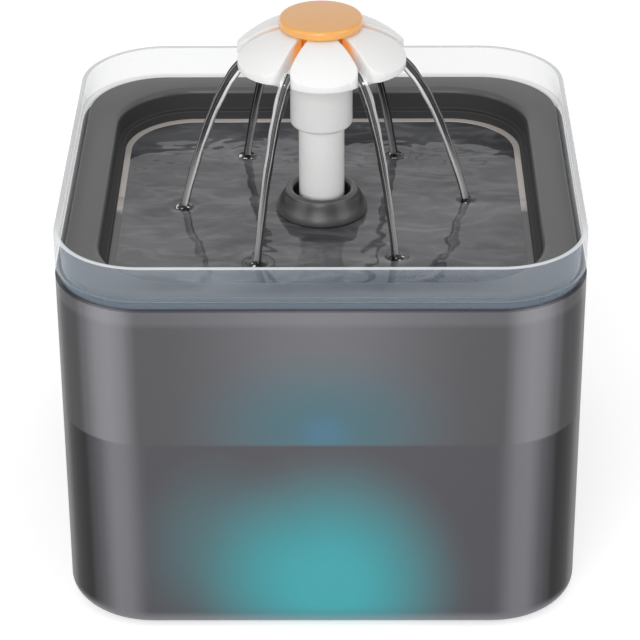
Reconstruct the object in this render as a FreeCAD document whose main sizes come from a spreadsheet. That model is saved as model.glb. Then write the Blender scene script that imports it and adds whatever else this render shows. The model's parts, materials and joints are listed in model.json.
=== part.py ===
import FreeCAD, Part
import math
import os
import re
import Sketcher

# Driving sizes in millimetres, in the order of the assembly from the floor up
SIZES = {
    # tank
    "tank_width": 175.0,
    "tank_corner": 30.0,
    "tank_wall": 2.4,
    "tank_bottom": 2.6,
    "tank_height": 122.9,
    "tank_base_round": 5.0,
    "tank_inner_round": 3.0,
    "foot_stand": 1.0,
    "foot_radius": 8.0,
    "foot_recess": 0.8,
    "foot_inset": 26.0,
    "notch_half": 4.5,
    "notch_depth": 10.0,
    "grommet_flange": 1.2,
    "grommet_bore": 1.75,
    # gaps between pieces
    "lift_gap": 0.3,
    "running_gap": 0.05,
    "snug_gap": 0.1,
    # reach of a cut past a face, and of a rib into what carries it
    "cut_past": 1.0,
    "rib_root": 0.5,
    # splash collar
    "collar_inset": 0.1,
    "collar_height": 15.9,
    "collar_wall": 2.0,
    "band_height": 3.3,
    "band_setback": 1.2,
    "skirt_depth": 9.9,
    "skirt_wall": 1.8,
    "seat_height": 2.6,
    "collar_rim_round": 0.9,
    # drinking tray
    "ledge_thick": 1.6,
    "ledge_gap": 0.5,
    "ledge_width": 11.1,
    "basin_corner": 27.5,
    "basin_depth": 20.1,
    "shelf_depth": 7.9,
    "shelf_width": 2.3,
    "tray_wall": 2.0,
    "lip_round": 2.0,
    "shelf_round": 1.0,
    "basin_floor_round": 4.0,
    "boss_height": 17.2,
    "boss_radius": 12.5,
    "boss_round": 1.0,
    "boss_flare": 25.0,
    "boss_base_radius": 25.9,
    "boss_bore": 9.8,
    "boss_seat_depth": 12.2,
    "boss_foot": 3.0,
    "seal_thick": 1.2,
    "drain_count": 12,
    "drain_width": 2.4,
    "drain_clear": 3.1,
    "drain_rim": 7.4,
    "ring_radius": 52.2,
    "ring_wall": 1.8,
    "ring_depth": 8.0,
    # filter
    "filter_height": 15.7,
    "filter_wall": 1.4,
    "filter_core_radius": 9.7,
    "filter_core_wall": 1.2,
    "cotton_thick": 2.5,
    "resin_thick": 3.6,
    "grid_thick": 1.4,
    "grid_drop": 0.3,
    "mesh_count": 24,
    "mesh_width": 2.0,
    "mesh_rim": 4.4,
    # stem and flower
    "riser_radius": 6.0,
    "riser_wall": 1.35,
    "riser_clear": 0.5,
    "stem_radius": 7.85,
    "stem_bore": 4.8,
    "stem_cover": 10.0,
    "stem_show": 24.4,
    "stem_grip": 10.0,
    "sleeve_radius": 10.65,
    "sleeve_bore": 6.5,
    "sleeve_length": 24.5,
    "sleeve_round": 1.2,
    "crown_radius": 30.0,
    "crown_rise": 9.7,
    "crown_arc": 32.0,
    "crown_seat_radius": 11.5,
    "petal_count": 6,
    "petal_gap": 3.4,
    "petal_tip": 18.0,
    "petal_corner": 4.0,
    "petal_lip": 2.1,
    "flower_turn": 2.6,
    "channel_radius": 26.0,
    "channel_thick": 1.4,
    "channel_drop": 1.4,
    "channel_top_drop": 5.0,
    "channel_flare": 1.0,
    "petal_root": 5.0,
    "plug_room": 1.0,
    "plug_step": 2.0,
    "cap_radius": 14.2,
    "cap_thick": 3.2,
    "cap_bevel": 1.1,
    "cap_edge": 0.4,
    "plug_radius": 9.3,
    "plug_length": 9.5,
    "plug_taper": 0.7,
    "plug_wall": 1.6,
    # pump housing
    "pump_lift": 6.0,
    "pump_half_width": 17.0,
    "pump_round": 3.0,
    "pump_wall": 1.4,
    "pump_axis_height": 22.0,
    "chamber_radius": 12.0,
    "chamber_depth": 12.0,
    "chamber_crown": 3.4,
    "cover_recess": 2.0,
    "cover_margin": 2.2,
    "well_bore": 6.8,
    "well_wall": 1.2,
    "well_depth": 22.0,
    "spout_radius": 4.6,
    "spout_bore": 3.4,
    "spout_height": 6.0,
    "ear_reach": 20.5,
    "ear_radius": 5.5,
    "ear_thick": 1.8,
    "ear_front": -24.0,
    "ear_back": -2.0,
    "cup_radius": 7.8,
    "cup_neck": 2.3,
    "cup_head": 3.6,
    "cup_head_thick": 1.4,
    "cup_hollow": 1.6,
    "cup_lip_width": 1.4,
    "cup_lip_thick": 0.6,
    "cup_shoulder": 3.6,
    # pump drive
    "potting_depth": 22.8,
    "core_start": 4.3,
    "core_length": 14.0,
    "core_leg": 6.0,
    "core_yoke": 5.0,
    "core_gap": 0.3,
    "core_below": 12.0,
    "core_above": 7.0,
    "core_slot_half": 3.5,
    "bobbin_wall": 0.8,
    "coil_thick": 2.4,
    "board_thick": 1.6,
    "chip_thick": 1.2,
    "chip_half": 1.6,
    "chip_spacing": 7.0,
    "lens_gap": 1.6,
    "lens_thick": 1.6,
    "lens_rebate": 0.6,
    "gland_offset": 10.0,
    "gland_setback": 8.0,
    "gland_radius": 3.2,
    "gland_bore": 1.6,
    "gland_height": 6.0,
    "gland_lip": 0.7,
    "gland_neck_step": 0.8,
    "gland_collar": 1.6,
    "shaft_radius": 1.15,
    "shaft_end_gap": 0.2,
    "magnet_radius": 6.3,
    "magnet_length": 18.0,
    "impeller_radius": 10.4,
    "impeller_tail": 2.0,
    "impeller_tail_radius": 5.0,
    "impeller_disc": 1.0,
    "impeller_hub": 3.6,
    "impeller_inset": 1.4,
    "impeller_back_gap": 1.2,
    "blade_count": 6,
    "blade_thick": 1.0,
    "blade_gap": 2.8,
    "bush_length": 1.6,
    "rear_bush_radius": 6.7,
    "front_bush_radius": 2.6,
    "hub_radius": 4.0,
    "hub_reach": 0.8,
    "inlet_radius": 9.0,
    "spider_count": 3,
    "spider_thick": 1.6,
    "seal_section": 0.5,
    "seal_relief": 0.02,
    # pump intake
    "intake_depth": 15.8,
    "intake_wall": 1.4,
    "intake_overlap": 3.8,
    "sponge_thick": 9.0,
    "grille_count": 9,
    "grille_width": 1.8,
    "grille_pitch": 3.4,
    "grille_length": 18.0,
    "grille_base": 4.0,
    "window_half": 3.5,
    "window_height": 4.0,
    "window_top": 4.0,
    "slider_half": 5.5,
    "slider_thick": 1.2,
    "slider_margin": 1.5,
    "slider_corner": 1.0,
    "rail_half": 11.0,
    "rail_lip": 1.2,
    "rail_thick": 1.0,
    "knob_half": 1.0,
    "knob_height": 2.2,
    "knob_corner": 0.5,
    "knob_gap": 0.4,
}

WORD = re.compile(r"\b[a-z][a-z_]*\b")

# Levels and half widths that follow from the driving sizes
TANK_HALF = "tank_width / 2"
TANK_INNER = f"({TANK_HALF} - tank_wall)"
TANK_FLOOR = "(foot_stand + tank_bottom)"
RIM = "(foot_stand + tank_height)"
FOOT_REACH = f"({TANK_HALF} - foot_inset)"
COLLAR_TOP = f"({RIM} + collar_height)"
COLLAR_OUTER = f"({TANK_HALF} - collar_inset)"
COLLAR_INNER = f"({COLLAR_OUTER} - collar_wall)"
BAND_OUTER = f"({TANK_HALF} - band_setback)"
SKIRT_OUTER = f"({TANK_INNER} - lift_gap)"
SKIRT_INNER = f"({SKIRT_OUTER} - skirt_wall)"
SEAT = f"({RIM} + seat_height)"
LEDGE_TOP = f"({SEAT} + ledge_thick)"
LEDGE_OUTER = f"({COLLAR_INNER} - ledge_gap)"
BASIN_HALF = f"({LEDGE_OUTER} - ledge_width)"
SHELF = f"({LEDGE_TOP} - shelf_depth)"
LOWER_HALF = f"({BASIN_HALF} - shelf_width)"
LOWER_CORNER = "(basin_corner - shelf_width)"
BASIN_FLOOR = f"({LEDGE_TOP} - basin_depth)"
TRAY_UNDER = f"({BASIN_FLOOR} - tray_wall)"
BOSS_TOP = f"({BASIN_FLOOR} + boss_height)"
STEM_SEAT = f"({BOSS_TOP} - boss_seat_depth)"
RISER_HOLE = "(riser_radius + riser_clear)"
RING_INNER = "(ring_radius - ring_wall)"
FILTER_RADIUS = f"({RING_INNER} - lift_gap)"
FILTER_TOP = f"({TRAY_UNDER} - lift_gap)"
FILTER_UNDER = f"({FILTER_TOP} - filter_height)"
FILTER_FLOOR = f"({FILTER_UNDER} + filter_wall)"
MEDIA_OUTER = "(ring_radius - ring_wall - lift_gap - filter_wall - snug_gap)"
MEDIA_INNER = "(filter_core_radius + snug_gap)"
GRID_TOP = f"({FILTER_TOP} - grid_drop)"
GRID_UNDER = f"({GRID_TOP} - grid_thick)"
SLEEVE_UNDER = f"({BOSS_TOP} + stem_show)"
PETAL_UNDER = f"({SLEEVE_UNDER} + sleeve_length)"
PETAL_TIP_TOP = f"({PETAL_UNDER} + petal_lip)"
CAP_SEAT = f"({PETAL_TIP_TOP} + crown_rise)"
PLUG_HOLE = "(plug_radius + lift_gap)"
PUMP_UNDER = f"({TANK_FLOOR} + pump_lift)"
PUMP_AXIS = f"({PUMP_UNDER} + pump_axis_height)"
PUMP_TOP = f"({PUMP_AXIS} + chamber_radius + chamber_crown)"
PUMP_MIDDLE = f"(({PUMP_UNDER} + {PUMP_TOP}) / 2)"
PUMP_HALF_HEIGHT = f"(({PUMP_TOP} - {PUMP_UNDER}) / 2)"
CHAMBER_HALF = "chamber_depth / 2"
PUMP_BACK = f"({CHAMBER_HALF} + cover_recess)"
CAVITY_START = f"(-{CHAMBER_HALF} - well_wall)"
BOARD_BACK = f"({CAVITY_START} - potting_depth)"
BOARD_FRONT = f"({BOARD_BACK} - board_thick)"
CHIP_FRONT = f"({BOARD_FRONT} - chip_thick)"
LENS_BACK = f"({CHIP_FRONT} - lens_gap)"
PUMP_FRONT = f"({LENS_BACK} - lens_thick)"
CAVITY_HALF = "(pump_half_width - pump_wall)"
CAVITY_HALF_HEIGHT = f"({PUMP_HALF_HEIGHT} - pump_wall)"
WELL_END = f"(-{CHAMBER_HALF} - well_depth)"
RECESS_RADIUS = "(chamber_radius + cover_margin)"
SEAL_RADIUS = "(chamber_radius + cover_margin / 2)"
GLAND_UNDER = f"({PUMP_TOP} - pump_wall - cut_past)"
RISER_UNDER = PUMP_TOP
RISER_TOP = f"({STEM_SEAT} + stem_cover - riser_clear)"
CORE_BACK = f"({CAVITY_START} - core_start)"
CORE_FRONT = f"({CORE_BACK} - core_length)"
CORE_BORE = "(well_bore + well_wall + core_gap)"
CORE_HALF = f"({CORE_BORE} + core_leg)"
YOKE_TOP = f"({PUMP_AXIS} - core_below)"
YOKE_UNDER = f"({YOKE_TOP} - core_yoke)"
CORE_TOP = f"({PUMP_AXIS} + core_above)"
IMPELLER_BACK = f"(-{CHAMBER_HALF} - impeller_tail)"
IMPELLER_FRONT = f"({CHAMBER_HALF} - impeller_inset)"
MAGNET_FRONT = f"({IMPELLER_BACK} - magnet_length)"
REAR_BUSH_BACK = f"({WELL_END} + bush_length)"
HUB_START = f"({CHAMBER_HALF} - hub_reach)"
INTAKE_START = f"({PUMP_BACK} - intake_overlap)"
INTAKE_END = f"({INTAKE_START} + intake_depth)"
INTAKE_HALF = "(pump_half_width + lift_gap)"
INTAKE_HALF_HEIGHT = f"({PUMP_HALF_HEIGHT} + lift_gap)"
INTAKE_INNER_END = f"({INTAKE_END} - intake_wall)"
WINDOW_TOP = f"({PUMP_TOP} - window_top)"
WINDOW_MIDDLE = f"({WINDOW_TOP} - window_height / 2)"
SLIDER_HALF_HEIGHT = "(window_height / 2 + slider_margin)"
SLIDER_BACK = f"({INTAKE_END} + running_gap)"

document = FreeCAD.newDocument("PetWaterFountain")
sheet = document.addObject("Spreadsheet::Sheet", "Sizes")
for row, (alias, size) in enumerate(SIZES.items(), start=1):
    sheet.set(f"A{row}", alias)
    sheet.set(f"B{row}", str(size))
    sheet.setAlias(f"B{row}", alias)
document.recompute()

pieces = {}


def from_sheet(expression):
    """Return an expression with the sheet's name before each size's alias."""

    def named(word):
        return f"Sizes.{word.group()}" if word.group() in SIZES else word.group()

    return WORD.sub(named, expression)


def value(expression):
    """Return the present value of an expression in the driving sizes."""
    return float(sheet.evalExpression(from_sheet(expression)))


def bind(feature, path, expression):
    """Tie one property of a feature to an expression in the driving sizes."""
    feature.setExpression(path, from_sheet(expression))


def stand(feature, x="0", y="0", z="0"):
    """Tie the place of a feature to three expressions."""
    for path, expression in (("x", x), ("y", y), ("z", z)):
        bind(feature, f"Placement.Base.{path}", expression)


def keep(label, feature):
    """Name a finished piece, which is later written to a file of that name."""
    feature.Label = label
    pieces[label] = feature
    return feature


# Sketches

def sketch_on(body, name, role, offset="0", raised="0"):
    """Return a sketch on one of a body's origin planes, moved along its normal and up in its plane."""
    sketch = body.newObject("Sketcher::SketchObject", name)
    plane = next(feature for feature in body.Origin.OriginFeatures if feature.Role == role)
    sketch.AttachmentSupport = [(plane, "")]
    sketch.MapMode = "FlatFace"
    bind(sketch, "AttachmentOffset.Base.y", raised)
    bind(sketch, "AttachmentOffset.Base.z", offset)
    return sketch


def tie(sketch, kind, geometry, point, expression, name):
    """Hold a point of a sketch, or a curve's radius, at an expression."""
    size = value(expression)
    if kind == "Radius":
        number = sketch.addConstraint(Sketcher.Constraint(kind, geometry, size))
    elif abs(size) < 1e-9:
        axis = -2 if kind == "DistanceX" else -1
        sketch.addConstraint(Sketcher.Constraint("PointOnObject", geometry, point, axis))
        return
    else:
        number = sketch.addConstraint(Sketcher.Constraint(kind, -1, 1, geometry, point, size))
    sketch.renameConstraint(number, name)
    bind(sketch, f"Constraints.{name}", expression)


def arc_between(start, end, radius):
    """Return an arc between two points, and its point numbers there: a negative radius turns clockwise."""
    chord = end - start
    height = math.sqrt(max(radius * radius - chord.Length ** 2 / 4, 0.0))
    left = FreeCAD.Vector(-chord.y, chord.x, 0).normalize()
    centre = (start + end) / 2 + left * math.copysign(height, radius)
    first = math.atan2(start.y - centre.y, start.x - centre.x)
    last = math.atan2(end.y - centre.y, end.x - centre.x)
    circle = Part.Circle(centre, FreeCAD.Vector(0, 0, 1), abs(radius))
    if radius > 0:
        return Part.ArcOfCircle(circle, first, last), (1, 2)
    return Part.ArcOfCircle(circle, last, first), (2, 1)


def outline(sketch, corners, arcs=None):
    """Draw a closed outline through corners given as expressions, with an arc after each corner in arcs."""
    arcs = arcs or {}
    points = [FreeCAD.Vector(value(x), value(y), 0) for x, y in corners]
    ends = []
    for index, start in enumerate(points):
        end = points[(index + 1) % len(points)]
        if index in arcs:
            curve, numbers = arc_between(start, end, value(arcs[index]))
        else:
            curve, numbers = Part.LineSegment(start, end), (1, 2)
        sketch.addGeometry(curve, False)
        ends.append(numbers)
    for index, numbers in enumerate(ends):
        following = (index + 1) % len(ends)
        start = ends[following][0]
        sketch.addConstraint(Sketcher.Constraint("Coincident", index, numbers[1], following, start))
    for index, (x, y) in enumerate(corners):
        tie(sketch, "DistanceX", index, ends[index][0], x, f"across_{index}")
        tie(sketch, "DistanceY", index, ends[index][0], y, f"up_{index}")
    for index, radius in arcs.items():
        size = f"abs({radius})"
        tie(sketch, "Radius", index, 0, size, f"radius_{index}")
    return sketch


def rounded_outline(sketch, half_x, half_y, corner):
    """Draw a centred rectangle with round corners."""
    reach_x, reach_y, radius = value(half_x), value(half_y), value(corner)
    signs = ((1, 1), (-1, 1), (-1, -1), (1, -1))
    centres = [FreeCAD.Vector(sx * (reach_x - radius), sy * (reach_y - radius), 0) for sx, sy in signs]
    for index, centre in enumerate(centres):
        circle = Part.Circle(centre, FreeCAD.Vector(0, 0, 1), radius)
        quarter = math.pi / 2
        sketch.addGeometry(Part.ArcOfCircle(circle, index * quarter, (index + 1) * quarter), False)
    for index, centre in enumerate(centres):
        following = centres[(index + 1) % 4]
        angle = (index + 1) * math.pi / 2
        out = FreeCAD.Vector(math.cos(angle), math.sin(angle), 0) * radius
        sketch.addGeometry(Part.LineSegment(centre + out, following + out), False)
    for index in range(4):
        sketch.addConstraint(Sketcher.Constraint("Tangent", index, 2, 4 + index, 1))
        sketch.addConstraint(Sketcher.Constraint("Tangent", 4 + index, 2, (index + 1) % 4, 1))
    for index, (sx, sy) in enumerate(signs):
        tie(sketch, "DistanceX", index, 3, f"{sx} * ({half_x} - {corner})", f"centre_x_{index}")
        tie(sketch, "DistanceY", index, 3, f"{sy} * ({half_y} - {corner})", f"centre_y_{index}")
    tie(sketch, "Radius", 0, 0, corner, "corner")
    for index in range(1, 4):
        sketch.addConstraint(Sketcher.Constraint("Equal", 0, index))
    return sketch


# Body features

def new_body(label):
    """Return an empty body."""
    return document.addObject("PartDesign::Body", label)


def pad(body, name, sketch, length, against=False):
    """Raise a sketch along its normal, or against it."""
    feature = body.newObject("PartDesign::Pad", name)
    feature.Profile = sketch
    feature.Reversed = against
    bind(feature, "Length", length)
    return feature


def pocket(body, name, sketch, depth, along=False):
    """Cut a sketch into a body against its normal, or along it."""
    feature = body.newObject("PartDesign::Pocket", name)
    feature.Profile = sketch
    feature.Reversed = along
    bind(feature, "Length", depth)
    return feature


def square_pad(body, name, half, corner, under, top):
    """Add a square layer with round corners between two levels."""
    sketch = sketch_on(body, f"{name}_sketch", "XY_Plane", under)
    return pad(body, name, rounded_outline(sketch, half, half, corner), f"{top} - {under}")


def square_pocket(body, name, half, corner, under, top):
    """Cut a square hollow with round corners between two levels."""
    sketch = sketch_on(body, f"{name}_sketch", "XY_Plane", top)
    return pocket(body, name, rounded_outline(sketch, half, half, corner), f"{top} - {under}")


def turned(body, name, corners, arcs=None, lying=False, cut=False):
    """Turn an outline about the vertical axis or, lying, about the pump's axis, or cut that form away.

    An upright outline is given as radius and height, and a lying one as place along Y and radius.
    """
    role = "YZ_Plane" if lying else "XZ_Plane"
    sketch = sketch_on(body, f"{name}_sketch", role, raised=PUMP_AXIS if lying else "0")
    outline(sketch, corners, arcs)
    feature = body.newObject("PartDesign::Groove" if cut else "PartDesign::Revolution", name)
    feature.Profile = sketch
    feature.ReferenceAxis = (sketch, ["H_Axis" if lying else "V_Axis"])
    feature.Angle = 360
    return feature


def tube(body, name, inner, outer, start, end, lying=False, cut=False):
    """Turn a plain ring between two radii and two places along its axis."""
    corners = [(inner, start), (outer, start), (outer, end), (inner, end)]
    if lying:
        corners = [(place, radius) for radius, place in corners]
    return turned(body, name, corners, lying=lying, cut=cut)


def ring_of(body, name, feature, sketch, count):
    """Repeat a feature round its sketch's normal."""
    pattern = body.newObject("PartDesign::PolarPattern", name)
    pattern.Originals = [feature]
    pattern.Axis = (sketch, ["N_Axis"])
    pattern.Angle = 360
    bind(pattern, "Occurrences", count)
    body.Tip = pattern
    return pattern


def round_edges(body, name, radius, chosen):
    """Round the edges of a body's last feature for which chosen is true."""
    document.recompute()
    base = body.Tip
    names = [f"Edge{number}" for number, edge in enumerate(base.Shape.Edges, start=1) if chosen(edge)]
    feature = body.newObject("PartDesign::Fillet", name)
    feature.Base = (base, names)
    bind(feature, "Radius", radius)
    return feature


def on_square(half, corner, level):
    """Return a test for edges that lie on a rounded square at a level."""
    side, radius, height = value(half), value(corner), value(level)

    def chosen(edge):
        box = edge.BoundBox
        if max(abs(box.ZMin - height), abs(box.ZMax - height)) > 1e-4:
            return False
        middle = edge.valueAt((edge.FirstParameter + edge.LastParameter) / 2)
        over_x, over_y = abs(middle.x) - (side - radius), abs(middle.y) - (side - radius)
        if over_x > 0 and over_y > 0:
            return abs(math.hypot(over_x, over_y) - radius) < 1e-3
        return abs(max(abs(middle.x), abs(middle.y)) - side) < 1e-3

    return chosen


# Primitives and booleans

def block(name, x, y, z):
    """Return a box between pairs of expressions along X, Y and Z."""
    box = document.addObject("Part::Box", name)
    for side, (low, high) in (("Length", x), ("Width", y), ("Height", z)):
        bind(box, side, f"({high}) - ({low})")
    stand(box, x[0], y[0], z[0])
    return box


def rod(name, radius, start, end, x="0", z="0", upright=True, y="0"):
    """Return a cylinder from start to end, upright at x and y, or along Y at x and z."""
    cylinder = document.addObject("Part::Cylinder", name)
    bind(cylinder, "Radius", radius)
    bind(cylinder, "Height", f"({end}) - ({start})")
    if upright:
        stand(cylinder, x, y, start)
    else:
        cylinder.Placement.Rotation = FreeCAD.Rotation(FreeCAD.Vector(1, 0, 0), -90)
        stand(cylinder, x, start, z)
    return cylinder


def joined(name, *features):
    """Return the union of several features."""
    feature = document.addObject("Part::MultiFuse", name)
    feature.Shapes = list(features)
    feature.Refine = True
    return feature


def cut(name, base, *tools):
    """Return a feature less one or more others."""
    feature = document.addObject("Part::Cut", name)
    feature.Base = base
    feature.Tool = tools[0] if len(tools) == 1 else joined(f"{name}_tools", *tools)
    feature.Refine = True
    return feature


def group(name, features):
    """Return separate solids that share one piece's name."""
    feature = document.addObject("Part::Compound", name)
    feature.Links = features
    return feature


# Tank

def make_tank():
    """Make the square tank with its foot recesses and the cable notch in its rear rim."""
    body = new_body("tank")
    square_pad(body, "tank_block", TANK_HALF, "tank_corner", "foot_stand", RIM)
    round_edges(body, "tank_base", "tank_base_round", on_square(TANK_HALF, "tank_corner", "foot_stand"))
    inner_corner = "(tank_corner - tank_wall)"
    square_pocket(body, "tank_hollow", TANK_INNER, inner_corner, TANK_FLOOR, RIM)
    round_edges(body, "tank_inside", "tank_inner_round", on_square(TANK_INNER, inner_corner, TANK_FLOOR))
    for index, (sx, sy) in enumerate(((1, 1), (-1, 1), (-1, -1), (1, -1))):
        sketch = sketch_on(body, f"foot_sketch_{index}", "XY_Plane", "foot_stand")
        sketch.addGeometry(Part.Circle(FreeCAD.Vector(sx, sy, 0), FreeCAD.Vector(0, 0, 1), 1), False)
        tie(sketch, "DistanceX", 0, 3, f"{sx} * {FOOT_REACH}", "across")
        tie(sketch, "DistanceY", 0, 3, f"{sy} * {FOOT_REACH}", "along")
        tie(sketch, "Radius", 0, 0, "foot_radius + snug_gap", "radius")
        pocket(body, f"foot_recess_{index}", sketch, "foot_recess", along=True)
    sketch = sketch_on(body, "notch_sketch", "XZ_Plane", f"-({TANK_HALF}) - cut_past")
    notch_outline(sketch, "notch_half", RIM, "notch_depth")
    pocket(body, "cable_notch", sketch, "tank_wall + 2 * cut_past", along=True)
    keep("tank", body)


def notch_outline(sketch, half, top, depth):
    """Draw a slot with a round lower end, open at the top."""
    middle = f"({top} - {depth} + {half})"
    corners = [(half, top), (f"-{half}", top), (f"-{half}", middle), ("0", f"{top} - {depth}"),
               (half, middle)]
    return outline(sketch, corners, {2: half, 3: half})


def make_feet():
    """Make the four rubber feet in their recesses."""
    feet = []
    for index, (sx, sy) in enumerate(((1, 1), (-1, 1), (-1, -1), (1, -1))):
        top = "foot_stand + foot_recess"
        feet.append(rod(f"rubber_foot_{index}", "foot_radius", "0", top, x=f"{sx} * {FOOT_REACH}",
                        y=f"{sy} * {FOOT_REACH}"))
    keep("rubber_feet", group("rubber_feet", feet))


def make_grommet():
    """Make the rubber grommet that lines the notch for the pump's cable."""
    body = new_body("cable_grommet")
    sketch = sketch_on(body, "plug_sketch", "XZ_Plane", f"-({TANK_HALF})")
    notch_outline(sketch, "(notch_half - snug_gap)", RIM, "(notch_depth - snug_gap)")
    pad(body, "plug", sketch, "tank_wall + snug_gap")
    sketch = sketch_on(body, "flange_sketch", "XZ_Plane", f"-({TANK_INNER} - snug_gap)")
    notch_outline(sketch, "(notch_half + grommet_flange)", RIM, "(notch_depth + grommet_flange)")
    pad(body, "flange", sketch, "grommet_flange")
    sketch = sketch_on(body, "bore_sketch", "XZ_Plane", f"-({TANK_HALF}) - cut_past")
    sketch.addGeometry(Part.Circle(FreeCAD.Vector(0, 1, 0), FreeCAD.Vector(0, 0, 1), 1), False)
    tie(sketch, "DistanceX", 0, 3, "0", "across")
    tie(sketch, "DistanceY", 0, 3, f"{RIM} - notch_depth + notch_half", "up")
    tie(sketch, "Radius", 0, 0, "grommet_bore", "radius")
    pocket(body, "bore", sketch, "tank_wall + grommet_flange + 4 * cut_past", along=True)
    keep("cable_grommet", body)


# Splash collar

def make_collar():
    """Make the clear collar: upper wall, set-back band on the tank's rim and skirt inside the tank."""
    body = new_body("splash_collar")
    band_top = f"({RIM} + band_height)"
    skirt_under = f"({RIM} - skirt_depth)"
    square_pad(body, "upper_wall", COLLAR_OUTER, "(tank_corner - collar_inset)", band_top, COLLAR_TOP)
    square_pad(body, "band", BAND_OUTER, "(tank_corner - band_setback)", RIM, band_top)
    skirt_corner = "(tank_corner - tank_wall - lift_gap)"
    square_pad(body, "skirt", SKIRT_OUTER, skirt_corner, skirt_under, RIM)
    inner_corner = "(tank_corner - collar_inset - collar_wall)"
    square_pocket(body, "upper_hollow", COLLAR_INNER, inner_corner, SEAT, COLLAR_TOP)
    square_pocket(body, "lower_hollow", SKIRT_INNER, f"({skirt_corner} - skirt_wall)", skirt_under, SEAT)
    round_edges(body, "rim_outside", "collar_rim_round",
                on_square(COLLAR_OUTER, "(tank_corner - collar_inset)", COLLAR_TOP))
    round_edges(body, "rim_inside", "collar_rim_round", on_square(COLLAR_INNER, inner_corner, COLLAR_TOP))
    sketch = sketch_on(body, "notch_sketch", "XZ_Plane", f"-({TANK_HALF}) - cut_past")
    half = "(notch_half + grommet_flange + lift_gap)"
    under = f"({skirt_under} - cut_past)"
    outline(sketch, [(f"-{half}", under), (half, under), (half, RIM), (f"-{half}", RIM)])
    pocket(body, "cable_notch", sketch, "tank_wall + lift_gap + skirt_wall + 3 * cut_past", along=True)
    keep("splash_collar", body)


# Drinking tray

def make_tray():
    """Make the drinking tray: ledge, stepped basin, hollow boss, drain slots and the filter's ring."""
    body = new_body("drinking_tray")
    ledge_corner = "(tank_corner - collar_inset - collar_wall - ledge_gap)"
    square_pad(body, "ledge", LEDGE_OUTER, ledge_corner, SEAT, LEDGE_TOP)
    under_shelf = f"({SHELF} - tray_wall)"
    square_pad(body, "upper_shell", f"({BASIN_HALF} + tray_wall)", "(basin_corner + tray_wall)",
               under_shelf, SEAT)
    square_pad(body, "lower_shell", f"({LOWER_HALF} + tray_wall)", f"({LOWER_CORNER} + tray_wall)",
               TRAY_UNDER, under_shelf)
    square_pocket(body, "upper_basin", BASIN_HALF, "basin_corner", SHELF, LEDGE_TOP)
    square_pocket(body, "lower_basin", LOWER_HALF, LOWER_CORNER, BASIN_FLOOR, SHELF)
    round_edges(body, "basin_lip", "lip_round", on_square(BASIN_HALF, "basin_corner", LEDGE_TOP))
    round_edges(body, "shelf_hollow", "shelf_round", on_square(BASIN_HALF, "basin_corner", SHELF))
    round_edges(body, "shelf_edge", "shelf_round", on_square(LOWER_HALF, LOWER_CORNER, SHELF))
    round_edges(body, "basin_floor", "basin_floor_round", on_square(LOWER_HALF, LOWER_CORNER, BASIN_FLOOR))
    corners = [("0", TRAY_UNDER), ("boss_base_radius", TRAY_UNDER), ("boss_base_radius", BASIN_FLOOR),
               ("boss_radius", f"{BOSS_TOP} - boss_round"), ("boss_radius - boss_round", BOSS_TOP),
               ("0", BOSS_TOP)]
    turned(body, "boss", corners, {2: "-boss_flare", 3: "boss_round"})
    bore_under = f"({STEM_SEAT} - seal_thick)"
    tray_past, boss_past = f"({TRAY_UNDER} - cut_past)", f"({BOSS_TOP} + cut_past)"
    corners = [("0", tray_past), (RISER_HOLE, tray_past), (RISER_HOLE, bore_under),
               ("boss_bore", bore_under), ("boss_bore", boss_past), ("0", boss_past)]
    turned(body, "boss_bore_cut", corners, cut=True)
    under_radius = f"({RISER_HOLE} + tray_wall)"
    foot = "(boss_base_radius - boss_foot)"
    corners = [(under_radius, tray_past), (foot, tray_past), (foot, TRAY_UNDER),
               ("boss_bore + tray_wall", f"{bore_under} - tray_wall"),
               (under_radius, f"{bore_under} - tray_wall")]
    turned(body, "boss_underside", corners, cut=True)
    tube(body, "filter_ring", RING_INNER, "ring_radius", f"{TRAY_UNDER} - ring_depth", TRAY_UNDER)
    sketch = sketch_on(body, "drain_sketch", "XY_Plane", BASIN_FLOOR)
    half, near, far = "(drain_width / 2)", "(boss_base_radius + drain_clear)", f"({RING_INNER} - drain_rim)"
    outline(sketch, [(near, f"-{half}"), (far, f"-{half}"), (far, half), (near, half)])
    slot = pocket(body, "drain_slot", sketch, "tray_wall + cut_past")
    ring_of(body, "drain_slots", slot, sketch, "drain_count")
    keep("drinking_tray", body)


def make_stem_seal():
    """Make the silicone ring at the bottom of the boss, on which the stem stands."""
    body = new_body("stem_seal")
    tube(body, "ring", f"({RISER_HOLE} + snug_gap)", "(boss_bore - snug_gap)", f"({STEM_SEAT} - seal_thick)",
         STEM_SEAT)
    keep("stem_seal", body)


# Filter

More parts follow.
